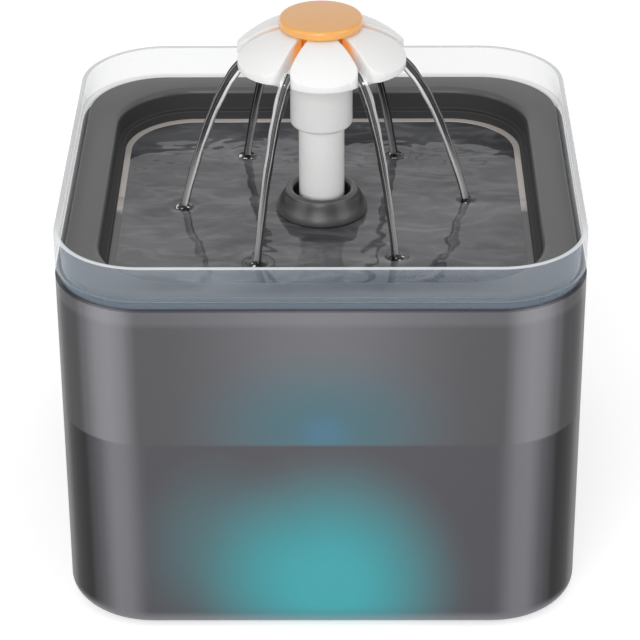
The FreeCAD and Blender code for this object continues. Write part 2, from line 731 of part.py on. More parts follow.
def make_filter():
    """Make the round filter under the tray: basket, cotton pads, resin, carbon and top grid."""
    body = new_body("filter_frame")
    tube(body, "wall", f"({FILTER_RADIUS} - filter_wall)", FILTER_RADIUS, FILTER_UNDER, FILTER_TOP)
    inner = "(filter_core_radius - filter_core_wall)"
    tube(body, "floor", inner, FILTER_RADIUS, FILTER_UNDER, FILTER_FLOOR)
    tube(body, "core", inner, "filter_core_radius", FILTER_UNDER, FILTER_TOP)
    radial_slots(body, "floor_slots", FILTER_FLOOR, "filter_wall + cut_past")
    keep("filter_frame", body)

    cotton_top = f"({FILTER_FLOOR} + cotton_thick)"
    resin_top = f"({cotton_top} + resin_thick)"
    carbon_top = f"({GRID_UNDER} - cotton_thick)"
    layers = {"cotton_below": (FILTER_FLOOR, cotton_top), "resin_bed": (cotton_top, resin_top),
              "carbon_bed": (resin_top, carbon_top), "cotton_above": (carbon_top, GRID_UNDER)}
    beds = {}
    for name, (under, top) in layers.items():
        beds[name] = new_body(name)
        tube(beds[name], f"{name}_ring", MEDIA_INNER, MEDIA_OUTER, under, top)
    keep("filter_cotton", group("filter_cotton", [beds["cotton_below"], beds["cotton_above"]]))
    keep("resin_bed", beds["resin_bed"])
    keep("carbon_bed", beds["carbon_bed"])

    grid = new_body("filter_grid")
    tube(grid, "plate", MEDIA_INNER, MEDIA_OUTER, GRID_UNDER, GRID_TOP)
    radial_slots(grid, "grid_slots", GRID_TOP, "grid_thick + cut_past")
    keep("filter_grid", grid)


def radial_slots(body, name, top, depth):
    """Cut a ring of radial slots down from a level."""
    sketch = sketch_on(body, f"{name}_sketch", "XY_Plane", top)
    half, near, far = "(mesh_width / 2)", f"({MEDIA_INNER} + mesh_rim)", f"({MEDIA_OUTER} - mesh_rim)"
    outline(sketch, [(near, f"-{half}"), (far, f"-{half}"), (far, half), (near, half)])
    slot = pocket(body, f"{name}_one", sketch, depth)
    ring_of(body, name, slot, sketch, "mesh_count")


# Stem and flower

def make_riser():
    """Make the riser pipe from the pump's spout up into the flower's stem."""
    body = new_body("riser_pipe")
    tube(body, "pipe", "(riser_radius - riser_wall)", "riser_radius", RISER_UNDER, RISER_TOP)
    keep("riser_pipe", body)


def make_stem():
    """Make the white stem tube, which slips over the riser and stands on the seal."""
    body = new_body("stem_tube")
    wide = "(riser_radius + running_gap)"
    step = f"({STEM_SEAT} + stem_cover)"
    top = f"({SLEEVE_UNDER} + stem_grip)"
    corners = [(wide, STEM_SEAT), ("stem_radius", STEM_SEAT), ("stem_radius", top), ("stem_bore", top),
               ("stem_bore", step), (wide, step)]
    turned(body, "tube", corners)
    keep("stem_tube", body)


def make_crown():
    """Make the flower crown: six petals over a channel dish, in one moulding with the sleeve."""
    dome = new_body("petal_dome")
    rise = f"({CAP_SEAT} - channel_top_drop)"
    under = f"({PETAL_UNDER} - channel_drop)"
    sleeve_top = f"({rise} - channel_thick)"
    corners = [(PLUG_HOLE, sleeve_top), ("channel_radius", under), ("crown_radius", PETAL_UNDER),
               ("crown_radius", PETAL_TIP_TOP), ("crown_seat_radius", CAP_SEAT), (PLUG_HOLE, CAP_SEAT)]
    turned(dome, "dome", corners, {3: "crown_arc"})

    fan = new_body("petal_fan")
    sketch = sketch_on(fan, "petal_sketch", "XY_Plane", f"{PETAL_UNDER} - 2 * cut_past")
    petal_outline(sketch)
    petal = pad(fan, "petal", sketch, f"{CAP_SEAT} - {PETAL_UNDER} + 4 * cut_past")
    reach = value("crown_radius")

    def outer_upright(edge):
        box = edge.BoundBox
        return box.ZLength > 1 and box.XMin > reach / 2 and box.XLength < 1e-3

    round_edges(fan, "petal_corners", "petal_corner", outer_upright)
    document.recompute()
    ring = fan.newObject("PartDesign::PolarPattern", "petals")
    ring.Originals = [petal, fan.Tip]
    ring.Axis = (sketch, ["N_Axis"])
    ring.Angle = 360
    bind(ring, "Occurrences", "petal_count")
    fan.Tip = ring
    fan.Placement.Rotation = FreeCAD.Rotation(FreeCAD.Vector(0, 0, 1), 30)
    bind(fan, "Placement.Rotation.Angle", "180 / petal_count + flower_turn")

    petals = document.addObject("Part::Common", "petals")
    petals.Base = dome
    petals.Tool = fan

    dish = new_body("channel_dish")
    grip = "(stem_radius + snug_gap)"
    plug_end = f"({CAP_SEAT} - plug_length - plug_room)"
    corners = [(grip, SLEEVE_UNDER), ("sleeve_radius - sleeve_round", SLEEVE_UNDER),
               ("sleeve_radius", f"{SLEEVE_UNDER} + sleeve_round"),
               ("sleeve_radius", f"{sleeve_top} - channel_thick - channel_flare"), ("channel_radius", under),
               ("channel_radius", f"{under} + channel_thick"), (PLUG_HOLE, rise),
               (PLUG_HOLE, plug_end), ("sleeve_bore", f"{plug_end} - plug_step"),
               ("sleeve_bore", f"{SLEEVE_UNDER} + stem_grip"), (grip, f"{SLEEVE_UNDER} + stem_grip")]
    turned(dish, "dish", corners, {1: "sleeve_round"})
    keep("flower_crown", joined("flower_crown", petals, dish))


def petal_outline(sketch):
    """Draw one petal in plan along X: straight sides beside the gaps and a round tip."""
    side = "(petal_gap / 2 / cos(180 deg / petal_count))"
    slope = "tan(180 deg / petal_count)"
    centre = "(crown_radius - petal_tip)"
    push = f"({centre} + {side} * {slope})"
    square = f"({centre} ^ 2 + {side} ^ 2 - petal_tip ^ 2)"
    reach = f"(({push} + sqrt({push} ^ 2 - (1 + {slope} ^ 2) * {square})) / (1 + {slope} ^ 2))"
    half = f"({reach} * {slope} - {side})"
    root_half = f"(petal_root * {slope} - {side})"
    corners = [("petal_root", f"-{root_half}"), (reach, f"-{half}"), (reach, half), ("petal_root", root_half)]
    outline(sketch, corners, {1: "petal_tip"})


def make_cap():
    """Make the orange cap: a bevelled disc with a hollow tapered plug below it."""
    body = new_body("flower_cap")
    top = f"({CAP_SEAT} + cap_thick)"
    plug_under = f"({CAP_SEAT} - plug_length)"
    end_radius = "(plug_radius - plug_taper)"
    corners = [("0", CAP_SEAT), ("plug_radius - plug_wall", CAP_SEAT),
               (f"{end_radius} - plug_wall", plug_under), (end_radius, plug_under), ("plug_radius", CAP_SEAT),
               ("cap_radius - cap_edge", CAP_SEAT), ("cap_radius", f"{CAP_SEAT} + cap_edge"),
               ("cap_radius", f"{top} - cap_bevel"), ("cap_radius - cap_bevel", top), ("0", top)]
    turned(body, "disc", corners)
    keep("flower_cap", body)


# Pump housing and drive

def make_pump_housing():
    """Make the pump's housing: chamber, rotor well, potted cavity, spout and the cups' ears."""
    shell = new_body("housing_shell")
    sketch = sketch_on(shell, "shell_sketch", "XZ_Plane", f"-{PUMP_BACK}", PUMP_MIDDLE)
    rounded_outline(sketch, "pump_half_width", PUMP_HALF_HEIGHT, "pump_round")
    pad(shell, "shell", sketch, f"{PUMP_BACK} - {PUMP_FRONT}")
    cavity = cavity_body("housing_cavity", CAVITY_START, f"{PUMP_FRONT} - cut_past")
    rebate = new_body("lens_rebate_cut")
    sketch = sketch_on(rebate, "rebate_sketch", "XZ_Plane", f"-{LENS_BACK}", PUMP_MIDDLE)
    rounded_outline(sketch, f"({CAVITY_HALF} + lens_rebate)", f"({CAVITY_HALF_HEIGHT} + lens_rebate)",
                    "(pump_round - pump_wall + lens_rebate)")
    pad(rebate, "rebate", sketch, "lens_thick + cut_past")
    well_outer = rod("well_outer", "well_bore + well_wall", f"{WELL_END} - well_wall", f"-{CHAMBER_HALF}",
                     z=PUMP_AXIS, upright=False)
    hollow = cut("hollow", cavity, well_outer)
    spout = rod("spout", "spout_radius", f"{PUMP_TOP} - rib_root", f"{PUMP_TOP} + spout_height")
    ears = [rod(f"ear_{index}", "ear_radius", PUMP_UNDER, f"{PUMP_UNDER} + ear_thick", x=x, y=y)
            for index, (x, y) in enumerate(ear_places())]
    solid = joined("housing_solid", shell, spout, *ears)
    chamber = rod("chamber", "chamber_radius", f"-{CHAMBER_HALF}", CHAMBER_HALF, z=PUMP_AXIS, upright=False)
    recess = rod("cover_seat", RECESS_RADIUS, CHAMBER_HALF, f"{PUMP_BACK} + cut_past", z=PUMP_AXIS,
                 upright=False)
    well = rod("well", "well_bore", WELL_END, "0", z=PUMP_AXIS, upright=False)
    outlet = rod("outlet", "spout_bore", PUMP_AXIS, f"{PUMP_TOP} + spout_height + cut_past")
    groove = new_body("seal_groove")
    seal_half = "(seal_section + snug_gap)"
    tube(groove, "groove", f"({SEAL_RADIUS} - {seal_half})", f"({SEAL_RADIUS} + {seal_half})",
         f"({CHAMBER_HALF} - 2 * seal_section - snug_gap)", f"({CHAMBER_HALF} + snug_gap)", lying=True)
    ear_past = (f"{PUMP_UNDER} - cut_past", f"{PUMP_UNDER} + ear_thick + cut_past")
    neck_holes = [rod(f"ear_hole_{index}", "cup_neck + snug_gap", *ear_past, x=x, y=y)
                  for index, (x, y) in enumerate(ear_places())]
    gland_hole = rod("gland_hole", "gland_radius - gland_neck_step + snug_gap", GLAND_UNDER,
                     f"{PUMP_TOP} + cut_past", x="gland_offset", y=f"{BOARD_BACK} + gland_setback")
    keep("pump_housing", cut("pump_housing", solid, hollow, rebate, chamber, recess, well, outlet, groove,
                             gland_hole, *neck_holes))


def ear_places():
    """Return the places of the four ears that hold the suction cups."""
    return [(f"{side} * ear_reach", along) for side in (1, -1) for along in ("ear_front", "ear_back")]


def cavity_body(name, back, front):
    """Return a body that fills the potted cavity between two places along Y."""
    body = new_body(name)
    sketch = sketch_on(body, f"{name}_sketch", "XZ_Plane", f"-{back}", PUMP_MIDDLE)
    rounded_outline(sketch, CAVITY_HALF, CAVITY_HALF_HEIGHT, "(pump_round - pump_wall)")
    pad(body, f"{name}_pad", sketch, f"({back}) - ({front})")
    return body


def make_suction_cups():
    """Make the four suction cups that hold the pump on the tank's floor."""
    cups = []
    ear_top = f"({PUMP_UNDER} + ear_thick)"
    for index, (x, y) in enumerate(ear_places()):
        body = new_body(f"suction_cup_{index}")
        corners = [("0", f"{TANK_FLOOR} + cup_hollow"), ("cup_radius - cup_lip_width", TANK_FLOOR),
                   ("cup_radius", TANK_FLOOR), ("cup_radius", f"{TANK_FLOOR} + cup_lip_thick"),
                   ("cup_head", f"{TANK_FLOOR} + cup_shoulder"),
                   ("cup_head", PUMP_UNDER), ("cup_neck", PUMP_UNDER), ("cup_neck", ear_top),
                   ("cup_head", ear_top), ("cup_head", f"{ear_top} + cup_head_thick"),
                   ("0", f"{ear_top} + cup_head_thick")]
        turned(body, "cup", corners)
        stand(body, x, y)
        cups.append(body)
    keep("suction_cups", group("suction_cups", cups))


def make_stator():
    """Make the laminated core, the bobbin and coil on its yoke, and the resin that pots them."""
    faces = (CORE_FRONT, CORE_BACK)
    past = (f"{CORE_FRONT} - cut_past", f"{CORE_BACK} + cut_past")
    plate = block("core_plate", (f"-{CORE_HALF}", CORE_HALF), faces, (YOKE_UNDER, CORE_TOP))
    bore = rod("core_bore", CORE_BORE, *past, z=PUMP_AXIS, upright=False)
    window = block("core_window", (f"-{CORE_BORE}", CORE_BORE), past, (YOKE_TOP, PUMP_AXIS))
    slot = block("core_slot", ("-core_slot_half", "core_slot_half"), past,
                 (PUMP_AXIS, f"{CORE_TOP} + cut_past"))
    core = keep("stator_core", cut("stator_core", plate, bore, window, slot))

    reach = f"({CORE_BORE} - snug_gap)"
    inside = ((f"-{reach} - cut_past", f"{reach} + cut_past"),
              (f"{CORE_FRONT} - snug_gap", f"{CORE_BACK} + snug_gap"),
              (f"{YOKE_UNDER} - snug_gap", f"{YOKE_TOP} + snug_gap"))

    def around(name, x, thick):
        spans = [(f"{low} - {thick}", f"{high} + {thick}") for low, high in inside[1:]]
        return block(name, x, *spans)

    whole = (f"-{reach}", reach)
    between = (f"-{reach} + bobbin_wall", f"{reach} - bobbin_wall")
    outside = "(bobbin_wall + coil_thick)"
    spool = cut("bobbin_spool", around("bobbin_block", whole, outside), block("yoke_way", *inside))
    waist = cut("bobbin_waist", around("waist_block", between, f"({outside} + cut_past)"),
                around("waist_core", between, "bobbin_wall"))
    bobbin = keep("coil_bobbin", cut("coil_bobbin", spool, waist))
    coil = keep("stator_coil", cut("stator_coil", around("coil_block", between, outside),
                                   around("coil_way", between, "bobbin_wall")))

    resin = cavity_body("resin_block", CAVITY_START, BOARD_BACK)
    well_outer = rod("resin_well", "well_bore + well_wall", f"{WELL_END} - well_wall", f"-{CHAMBER_HALF}",
                     z=PUMP_AXIS, upright=False)
    gland_way = rod("resin_gland", "gland_radius - gland_neck_step + snug_gap", GLAND_UNDER,
                    f"{PUMP_TOP} + cut_past", x="gland_offset", y=f"{BOARD_BACK} + gland_setback")
    keep("stator_potting", cut("stator_potting", resin, well_outer, core, bobbin, coil, gland_way))


def make_lamp():
    """Make the lamp at the pump's front end: board, four light chips and clear lens."""
    def panel(label, half, half_height, corner, back, front):
        body = new_body(label)
        sketch = sketch_on(body, f"{label}_sketch", "XZ_Plane", f"-{back}", PUMP_MIDDLE)
        rounded_outline(sketch, half, half_height, corner)
        pad(body, f"{label}_pad", sketch, f"{back} - {front}")
        return keep(label, body)

    panel("led_board", f"({CAVITY_HALF} - snug_gap)", f"({CAVITY_HALF_HEIGHT} - snug_gap)",
          "(pump_round - pump_wall)", BOARD_BACK, BOARD_FRONT)
    panel("led_lens", f"({CAVITY_HALF} + lens_rebate - snug_gap)",
          f"({CAVITY_HALF_HEIGHT} + lens_rebate - snug_gap)", "(pump_round - pump_wall + lens_rebate)",
          LENS_BACK, PUMP_FRONT)
    chips = []
    for index, (sx, sz) in enumerate(((1, 1), (-1, 1), (-1, -1), (1, -1))):
        x, z = f"{sx} * chip_spacing", f"{PUMP_MIDDLE} + {sz} * chip_spacing"
        chips.append(block(f"led_chip_{index}", (f"{x} - chip_half", f"{x} + chip_half"),
                           (CHIP_FRONT, BOARD_FRONT), (f"{z} - chip_half", f"{z} + chip_half")))
    keep("led_chips", group("led_chips", chips))


def make_gland():
    """Make the rubber gland through which the pump's cable leaves the potted cavity."""
    body = new_body("cable_gland")
    neck = "(gland_radius - gland_neck_step)"
    corners = [("gland_bore", GLAND_UNDER), (neck, GLAND_UNDER), (neck, PUMP_TOP),
               ("gland_radius", PUMP_TOP), ("gland_radius", f"{PUMP_TOP} + gland_collar"),
               ("gland_bore + gland_lip", f"{PUMP_TOP} + gland_height"),
               ("gland_bore", f"{PUMP_TOP} + gland_height")]
    turned(body, "sleeve", corners)
    stand(body, "gland_offset", f"{BOARD_BACK} + gland_setback")
    keep("cable_gland", body)


def make_rotor():
    """Make the fixed shaft with its bushes, and the impeller and magnet that turn on it."""
    shaft_end = f"({PUMP_BACK} - 2 * shaft_end_gap)"
    shaft_start = f"({WELL_END} + shaft_end_gap)"
    keep("rotor_shaft", rod("rotor_shaft", "shaft_radius", shaft_start, shaft_end, z=PUMP_AXIS,
                            upright=False))
    bushes = {"shaft_bush_rear": ("rear_bush_radius", WELL_END, REAR_BUSH_BACK),
              "shaft_bush_front": ("front_bush_radius", HUB_START, shaft_end)}
    for label, (radius, start, end) in bushes.items():
        body = new_body(label)
        tube(body, "bush", "shaft_radius", radius, start, end, lying=True)
        keep(label, body)

    bore = "(shaft_radius + running_gap)"
    magnet = new_body("rotor_magnet")
    tube(magnet, "magnet", bore, "magnet_radius", MAGNET_FRONT, IMPELLER_BACK, lying=True)
    keep("rotor_magnet", magnet)

    body = new_body("impeller")
    disc_start = f"(-{CHAMBER_HALF} + impeller_back_gap)"
    disc_end = f"({disc_start} + impeller_disc)"
    corners = [(IMPELLER_BACK, bore), (IMPELLER_BACK, "impeller_tail_radius"),
               (disc_start, "impeller_tail_radius"), (disc_start, "impeller_radius"),
               (disc_end, "impeller_radius"), (disc_end, "impeller_hub"),
               (IMPELLER_FRONT, "impeller_hub"), (IMPELLER_FRONT, bore)]
    turned(body, "hub", corners, lying=True)
    sketch = sketch_on(body, "blade_sketch", "XZ_Plane", f"-{disc_end}", PUMP_AXIS)
    half, root, tip = "(blade_thick / 2)", "(impeller_hub - rib_root)", "(impeller_radius - snug_gap)"
    outline(sketch, [(f"-{half}", root), (half, root), (half, tip), (f"-{half}", tip)])
    blade = pad(body, "blade", sketch, f"{CHAMBER_HALF} - blade_gap - {disc_end}", against=True)
    ring_of(body, "blades", blade, sketch, "blade_count")
    keep("impeller", body)


def make_chamber_cover():
    """Make the cover of the pump's chamber, with the front bush's hub on a spider, and its seal ring."""
    body = new_body("volute_cover")
    tube(body, "plate", "inlet_radius", f"({RECESS_RADIUS} - snug_gap)", CHAMBER_HALF, PUMP_BACK, lying=True)
    tube(body, "hub", "front_bush_radius", "hub_radius", HUB_START, PUMP_BACK, lying=True)
    sketch = sketch_on(body, "spider_sketch", "XZ_Plane", f"-{PUMP_BACK}", PUMP_AXIS)
    half, root, tip = "(spider_thick / 2)", "(hub_radius - rib_root)", "(inlet_radius + rib_root)"
    outline(sketch, [(f"-{half}", root), (half, root), (half, tip), (f"-{half}", tip)])
    arm = pad(body, "arm", sketch, "cover_recess")
    ring_of(body, "spider", arm, sketch, "spider_count")
    keep("volute_cover", body)
    ring = document.addObject("Part::Torus", "volute_seal")
    bind(ring, "Radius1", SEAL_RADIUS)
    bind(ring, "Radius2", "seal_section - seal_relief")
    ring.Placement.Rotation = FreeCAD.Rotation(FreeCAD.Vector(1, 0, 0), -90)
    stand(ring, "0", f"{CHAMBER_HALF} - seal_section", PUMP_AXIS)
    keep("volute_seal", ring)


# Pump intake

def make_intake():
    """Make the strainer cover with its grille, window and rails, the sponge in it and the flow slider."""
    body = new_body("intake_cover")
    sketch = sketch_on(body, "cover_sketch", "XZ_Plane", f"-{INTAKE_END}", PUMP_MIDDLE)
    rounded_outline(sketch, f"({INTAKE_HALF} + intake_wall)", f"({INTAKE_HALF_HEIGHT} + intake_wall)",
                    "(pump_round + lift_gap + intake_wall)")
    pad(body, "cover", sketch, "intake_depth")
    sketch = sketch_on(body, "inside_sketch", "XZ_Plane", f"-{INTAKE_START}", PUMP_MIDDLE)
    rounded_outline(sketch, INTAKE_HALF, INTAKE_HALF_HEIGHT, "(pump_round + lift_gap)")
    pocket(body, "inside", sketch, "intake_depth - intake_wall")
    above = f"({PUMP_TOP} + lift_gap + intake_wall + cut_past)"
    tube(body, "riser_notch", "0", RISER_HOLE, PUMP_TOP, above, cut=True)
    grille_base = f"({PUMP_UNDER} + grille_base)"
    start = "(-(grille_count - 1) * grille_pitch / 2 - grille_width / 2)"
    sketch = sketch_on(body, "grille_sketch", "XZ_Plane", f"-{INTAKE_END}")
    outline(sketch, [(start, grille_base), (f"{start} + grille_width", grille_base),
                     (f"{start} + grille_width", f"{grille_base} + grille_length"),
                     (start, f"{grille_base} + grille_length")])
    slot = pocket(body, "grille_slot", sketch, "intake_wall + cut_past")
    pattern = body.newObject("PartDesign::LinearPattern", "grille")
    pattern.Originals = [slot]
    pattern.Direction = (sketch, ["H_Axis"])
    bind(pattern, "Length", "(grille_count - 1) * grille_pitch")
    bind(pattern, "Occurrences", "grille_count")
    body.Tip = pattern
    sketch = sketch_on(body, "window_sketch", "XZ_Plane", f"-{INTAKE_END}")
    low, high = f"{WINDOW_TOP} - window_height", WINDOW_TOP
    outline(sketch, [("0", low), ("2 * window_half", low), ("2 * window_half", high), ("0", high)])
    pocket(body, "window", sketch, "intake_wall + cut_past")
    rail_depth = "(running_gap + slider_thick + running_gap)"
    inner = f"({SLIDER_HALF_HEIGHT} + running_gap)"
    for name, sign in (("lower", "-1"), ("upper", "1")):
        sketch = sketch_on(body, f"{name}_rail_sketch", "YZ_Plane", "-rail_half", WINDOW_MIDDLE)
        root, lip = f"({INTAKE_END} - rib_root)", f"({INTAKE_END} + {rail_depth})"
        face = f"{sign} * {inner}"
        back = f"{sign} * ({inner} + rail_thick)"
        tip = f"{sign} * ({inner} - rail_lip)"
        corners = [(root, back), (f"{lip} + rail_thick", back), (f"{lip} + rail_thick", tip), (lip, tip),
                   (lip, face), (root, face)]
        outline(sketch, corners)
        pad(body, f"{name}_rail", sketch, "2 * rail_half")
    keep("intake_cover", body)

    inset = "(lift_gap + snug_gap)"
    sponge = new_body("intake_sponge")
    sketch = sketch_on(sponge, "sponge_sketch", "XZ_Plane", f"-({INTAKE_INNER_END} - snug_gap)", PUMP_MIDDLE)
    rounded_outline(sketch, f"({INTAKE_HALF} - {inset})", f"({INTAKE_HALF_HEIGHT} - {inset})", "pump_round")
    pad(sponge, "sponge", sketch, "sponge_thick")
    keep("intake_sponge", sponge)

    slider = new_body("flow_slider")
    sketch = sketch_on(slider, "plate_sketch", "XZ_Plane", f"-({SLIDER_BACK} + slider_thick)", WINDOW_MIDDLE)
    rounded_outline(sketch, "slider_half", SLIDER_HALF_HEIGHT, "slider_corner")
    pad(slider, "plate", sketch, "slider_thick")
    sketch = sketch_on(slider, "knob_sketch", "XZ_Plane", f"-({SLIDER_BACK} + slider_thick + knob_height)",
                       WINDOW_MIDDLE)
    rounded_outline(sketch, "knob_half", f"({SLIDER_HALF_HEIGHT} - rail_lip - knob_gap)", "knob_corner")
    pad(slider, "knob", sketch, "knob_height + rib_root")
    keep("flow_slider", slider)


def check_and_write():
    """Stop on a failed feature or a bad shape, then write every piece to its own file."""
    document.recompute()
    for feature in document.Objects:
        if {"Invalid", "Error"} & set(feature.State):
            raise RuntimeError(f"{feature.Name} failed")
    for label, feature in pieces.items():
        if feature.Shape.isNull() or not feature.Shape.isValid():
            raise RuntimeError(f"{label} has a bad shape")
    os.makedirs("parts", exist_ok=True)
    for label, feature in pieces.items():
        feature.Shape.exportStep(f"parts/{label}.step")
        box = feature.Shape.BoundBox
        print(f"{label}: {len(feature.Shape.Solids)} solids, {feature.Shape.Volume:.0f} mm3, "
              f"z {box.ZMin:.2f} to {box.ZMax:.2f}")


make_tank()
make_feet()
make_grommet()
make_collar()
make_tray()
make_stem_seal()
make_filter()
make_riser()
make_stem()
make_crown()
make_cap()
make_pump_housing()
make_suction_cups()
make_stator()
make_lamp()
make_gland()
make_rotor()
make_chamber_cover()
make_intake()
check_and_write()
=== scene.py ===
"""Looks of the square pet water fountain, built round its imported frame.

Finishes measure in metres and makers in millimetres, both in the frame's own axes: the front is -Y and the floor
is z = 0.
"""

from __future__ import annotations

import json
import logging
import math
from dataclasses import dataclass, field
from enum import Enum
from typing import Sequence

import bmesh
import bpy
from mathutils import Matrix, Vector, noise

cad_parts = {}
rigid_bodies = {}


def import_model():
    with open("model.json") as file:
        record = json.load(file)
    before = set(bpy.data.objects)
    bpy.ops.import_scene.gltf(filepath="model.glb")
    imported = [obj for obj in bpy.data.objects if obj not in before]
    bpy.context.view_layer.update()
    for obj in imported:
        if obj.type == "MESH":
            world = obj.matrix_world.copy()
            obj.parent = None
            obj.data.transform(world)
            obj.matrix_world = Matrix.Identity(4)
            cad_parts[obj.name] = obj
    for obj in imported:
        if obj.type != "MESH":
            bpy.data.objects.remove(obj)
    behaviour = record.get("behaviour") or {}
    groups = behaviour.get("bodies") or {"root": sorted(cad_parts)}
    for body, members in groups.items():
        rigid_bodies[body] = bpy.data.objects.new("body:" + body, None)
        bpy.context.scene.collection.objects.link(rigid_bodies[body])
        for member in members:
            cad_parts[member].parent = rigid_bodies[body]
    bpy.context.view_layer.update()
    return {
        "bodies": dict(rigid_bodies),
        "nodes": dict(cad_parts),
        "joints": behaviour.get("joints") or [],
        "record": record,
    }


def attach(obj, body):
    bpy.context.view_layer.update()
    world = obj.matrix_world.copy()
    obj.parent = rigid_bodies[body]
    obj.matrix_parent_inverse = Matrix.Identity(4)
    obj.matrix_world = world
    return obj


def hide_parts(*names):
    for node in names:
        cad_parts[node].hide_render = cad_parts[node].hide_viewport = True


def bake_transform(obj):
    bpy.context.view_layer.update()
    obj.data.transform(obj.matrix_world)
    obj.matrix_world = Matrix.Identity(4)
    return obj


LOG = logging.getLogger("fountain")
MM = 0.001
Colour = tuple[float, float, float]
Place = tuple[float, float, float]
Point = tuple[float, float]
Socket = bpy.types.NodeSocket
Piece = bpy.types.Object
BLACK = (0.0, 0.0, 0.0)
# Where the six streams meet the water, in plan, in millimetres
LANDINGS = ((-48.1, 1.6), (-21.5, -40.4), (25.0, -35.5), (50.5, 7.1), (-27.3, 42.0), (26.0, 42.8))


class Body(str, Enum):
    """The frame's bodies that the pieces ride on."""

    COLLAR = "collar"
    TRAY = "tray"
    FLOWER = "flower"
    CAP = "cap"


@dataclass(frozen=True)
class Ring:
    """One level of a square form with round corners, in millimetres.

    Attributes:
        half: Half the width.
        core: How far the corners' centres stand from the middle lines; near 0 the level is round.
        z: The height.
    """

    half: float
    core: float
    z: float

    def reach(self, x: float, y: float) -> float:
        """Return the half width of the level's own kind that passes through a point in plan."""
        over_x, over_y = abs(x) - self.core, abs(y) - self.core
        if over_x > 0 and over_y > 0:
            return self.core + math.hypot(over_x, over_y)
        return max(abs(x), abs(y))

    def moved(self, other: Ring, x: float, y: float) -> Point:
        """Return where a corner point of this level goes on another, in metres.

        Args:
            other: The level that the point moves to.
            x: The point's place across, in millimetres.
            y: The point's place along, in millimetres.
        """
        spoke = Vector((abs(x) - self.core, abs(y) - self.core)).normalized() * (other.half - other.core)
        return (math.copysign(other.core + spoke.x, x) * MM, math.copysign(other.core + spoke.y, y) * MM)


def arc(centre: Vector, start: Vector, end: Vector, steps: int) -> list[Point]:
    """Return the points of an arc, both ends included.

    Args:
        centre: The arc's centre.
        start: The spoke from the centre to the arc's start.
        end: The spoke to its end.
        steps: How many chords the arc has.
    """
    turn = start.angle(end)
    points = []
    for step in range(steps + 1):
        share = step / steps
        spoke = (start * math.sin((1 - share) * turn) + end * math.sin(share * turn)) / math.sin(turn)
        points.append(tuple(centre + spoke))
    return points


def centre_on_right(start: Vector, end: Vector, radius: float) -> Vector:
    """Return the centre of the arc through two points that lies to the right on the way between them."""
    chord = end - start
    across = Vector((-chord.y, chord.x)).normalized()
    return (start + end) / 2 - across * math.sqrt(radius ** 2 - chord.length_squared / 4)


def soften(points: Sequence[Point], radii: dict[int, float], steps: int) -> list[tuple[int, float, float]]:
    """Round chosen corners of a section line.

    Args:
        points: The section's corners, across and up, in millimetres.
        radii: The rounding radius of each corner that has one, by its number.
        steps: How many chords stand for a quarter turn.

    Returns:
        The section's points, each with the number of the corner it comes from.
    """
    out: list[tuple[int, float, float]] = []
    for index, (across, up) in enumerate(points):
        radius = radii.get(index, 0.0)
        if not radius:
            out.append((index, across, up))
            continue
        here = Vector((across, up))
        back = (Vector(points[index - 1]) - here).normalized()
        ahead = (Vector(points[(index + 1) % len(points)]) - here).normalized()
        opening = back.angle(ahead)
        reach = radius / math.tan(opening / 2)
        centre = here + (back + ahead).normalized() * (radius / math.sin(opening / 2))
        start, end = here + back * reach - centre, here + ahead * reach - centre
        count = max(2, round(steps * start.angle(end) / (math.pi / 2)))
        out += [(index, *point) for point in arc(centre, start, end, count)]
    return out


def rounded(points: Sequence[Point], radii: dict[int, float], steps: int) -> list[Point]:
    """Return a section line with chosen corners rounded, as soften does, without the corners' numbers."""
    return [point for _, *point in soften(points, radii, steps)]


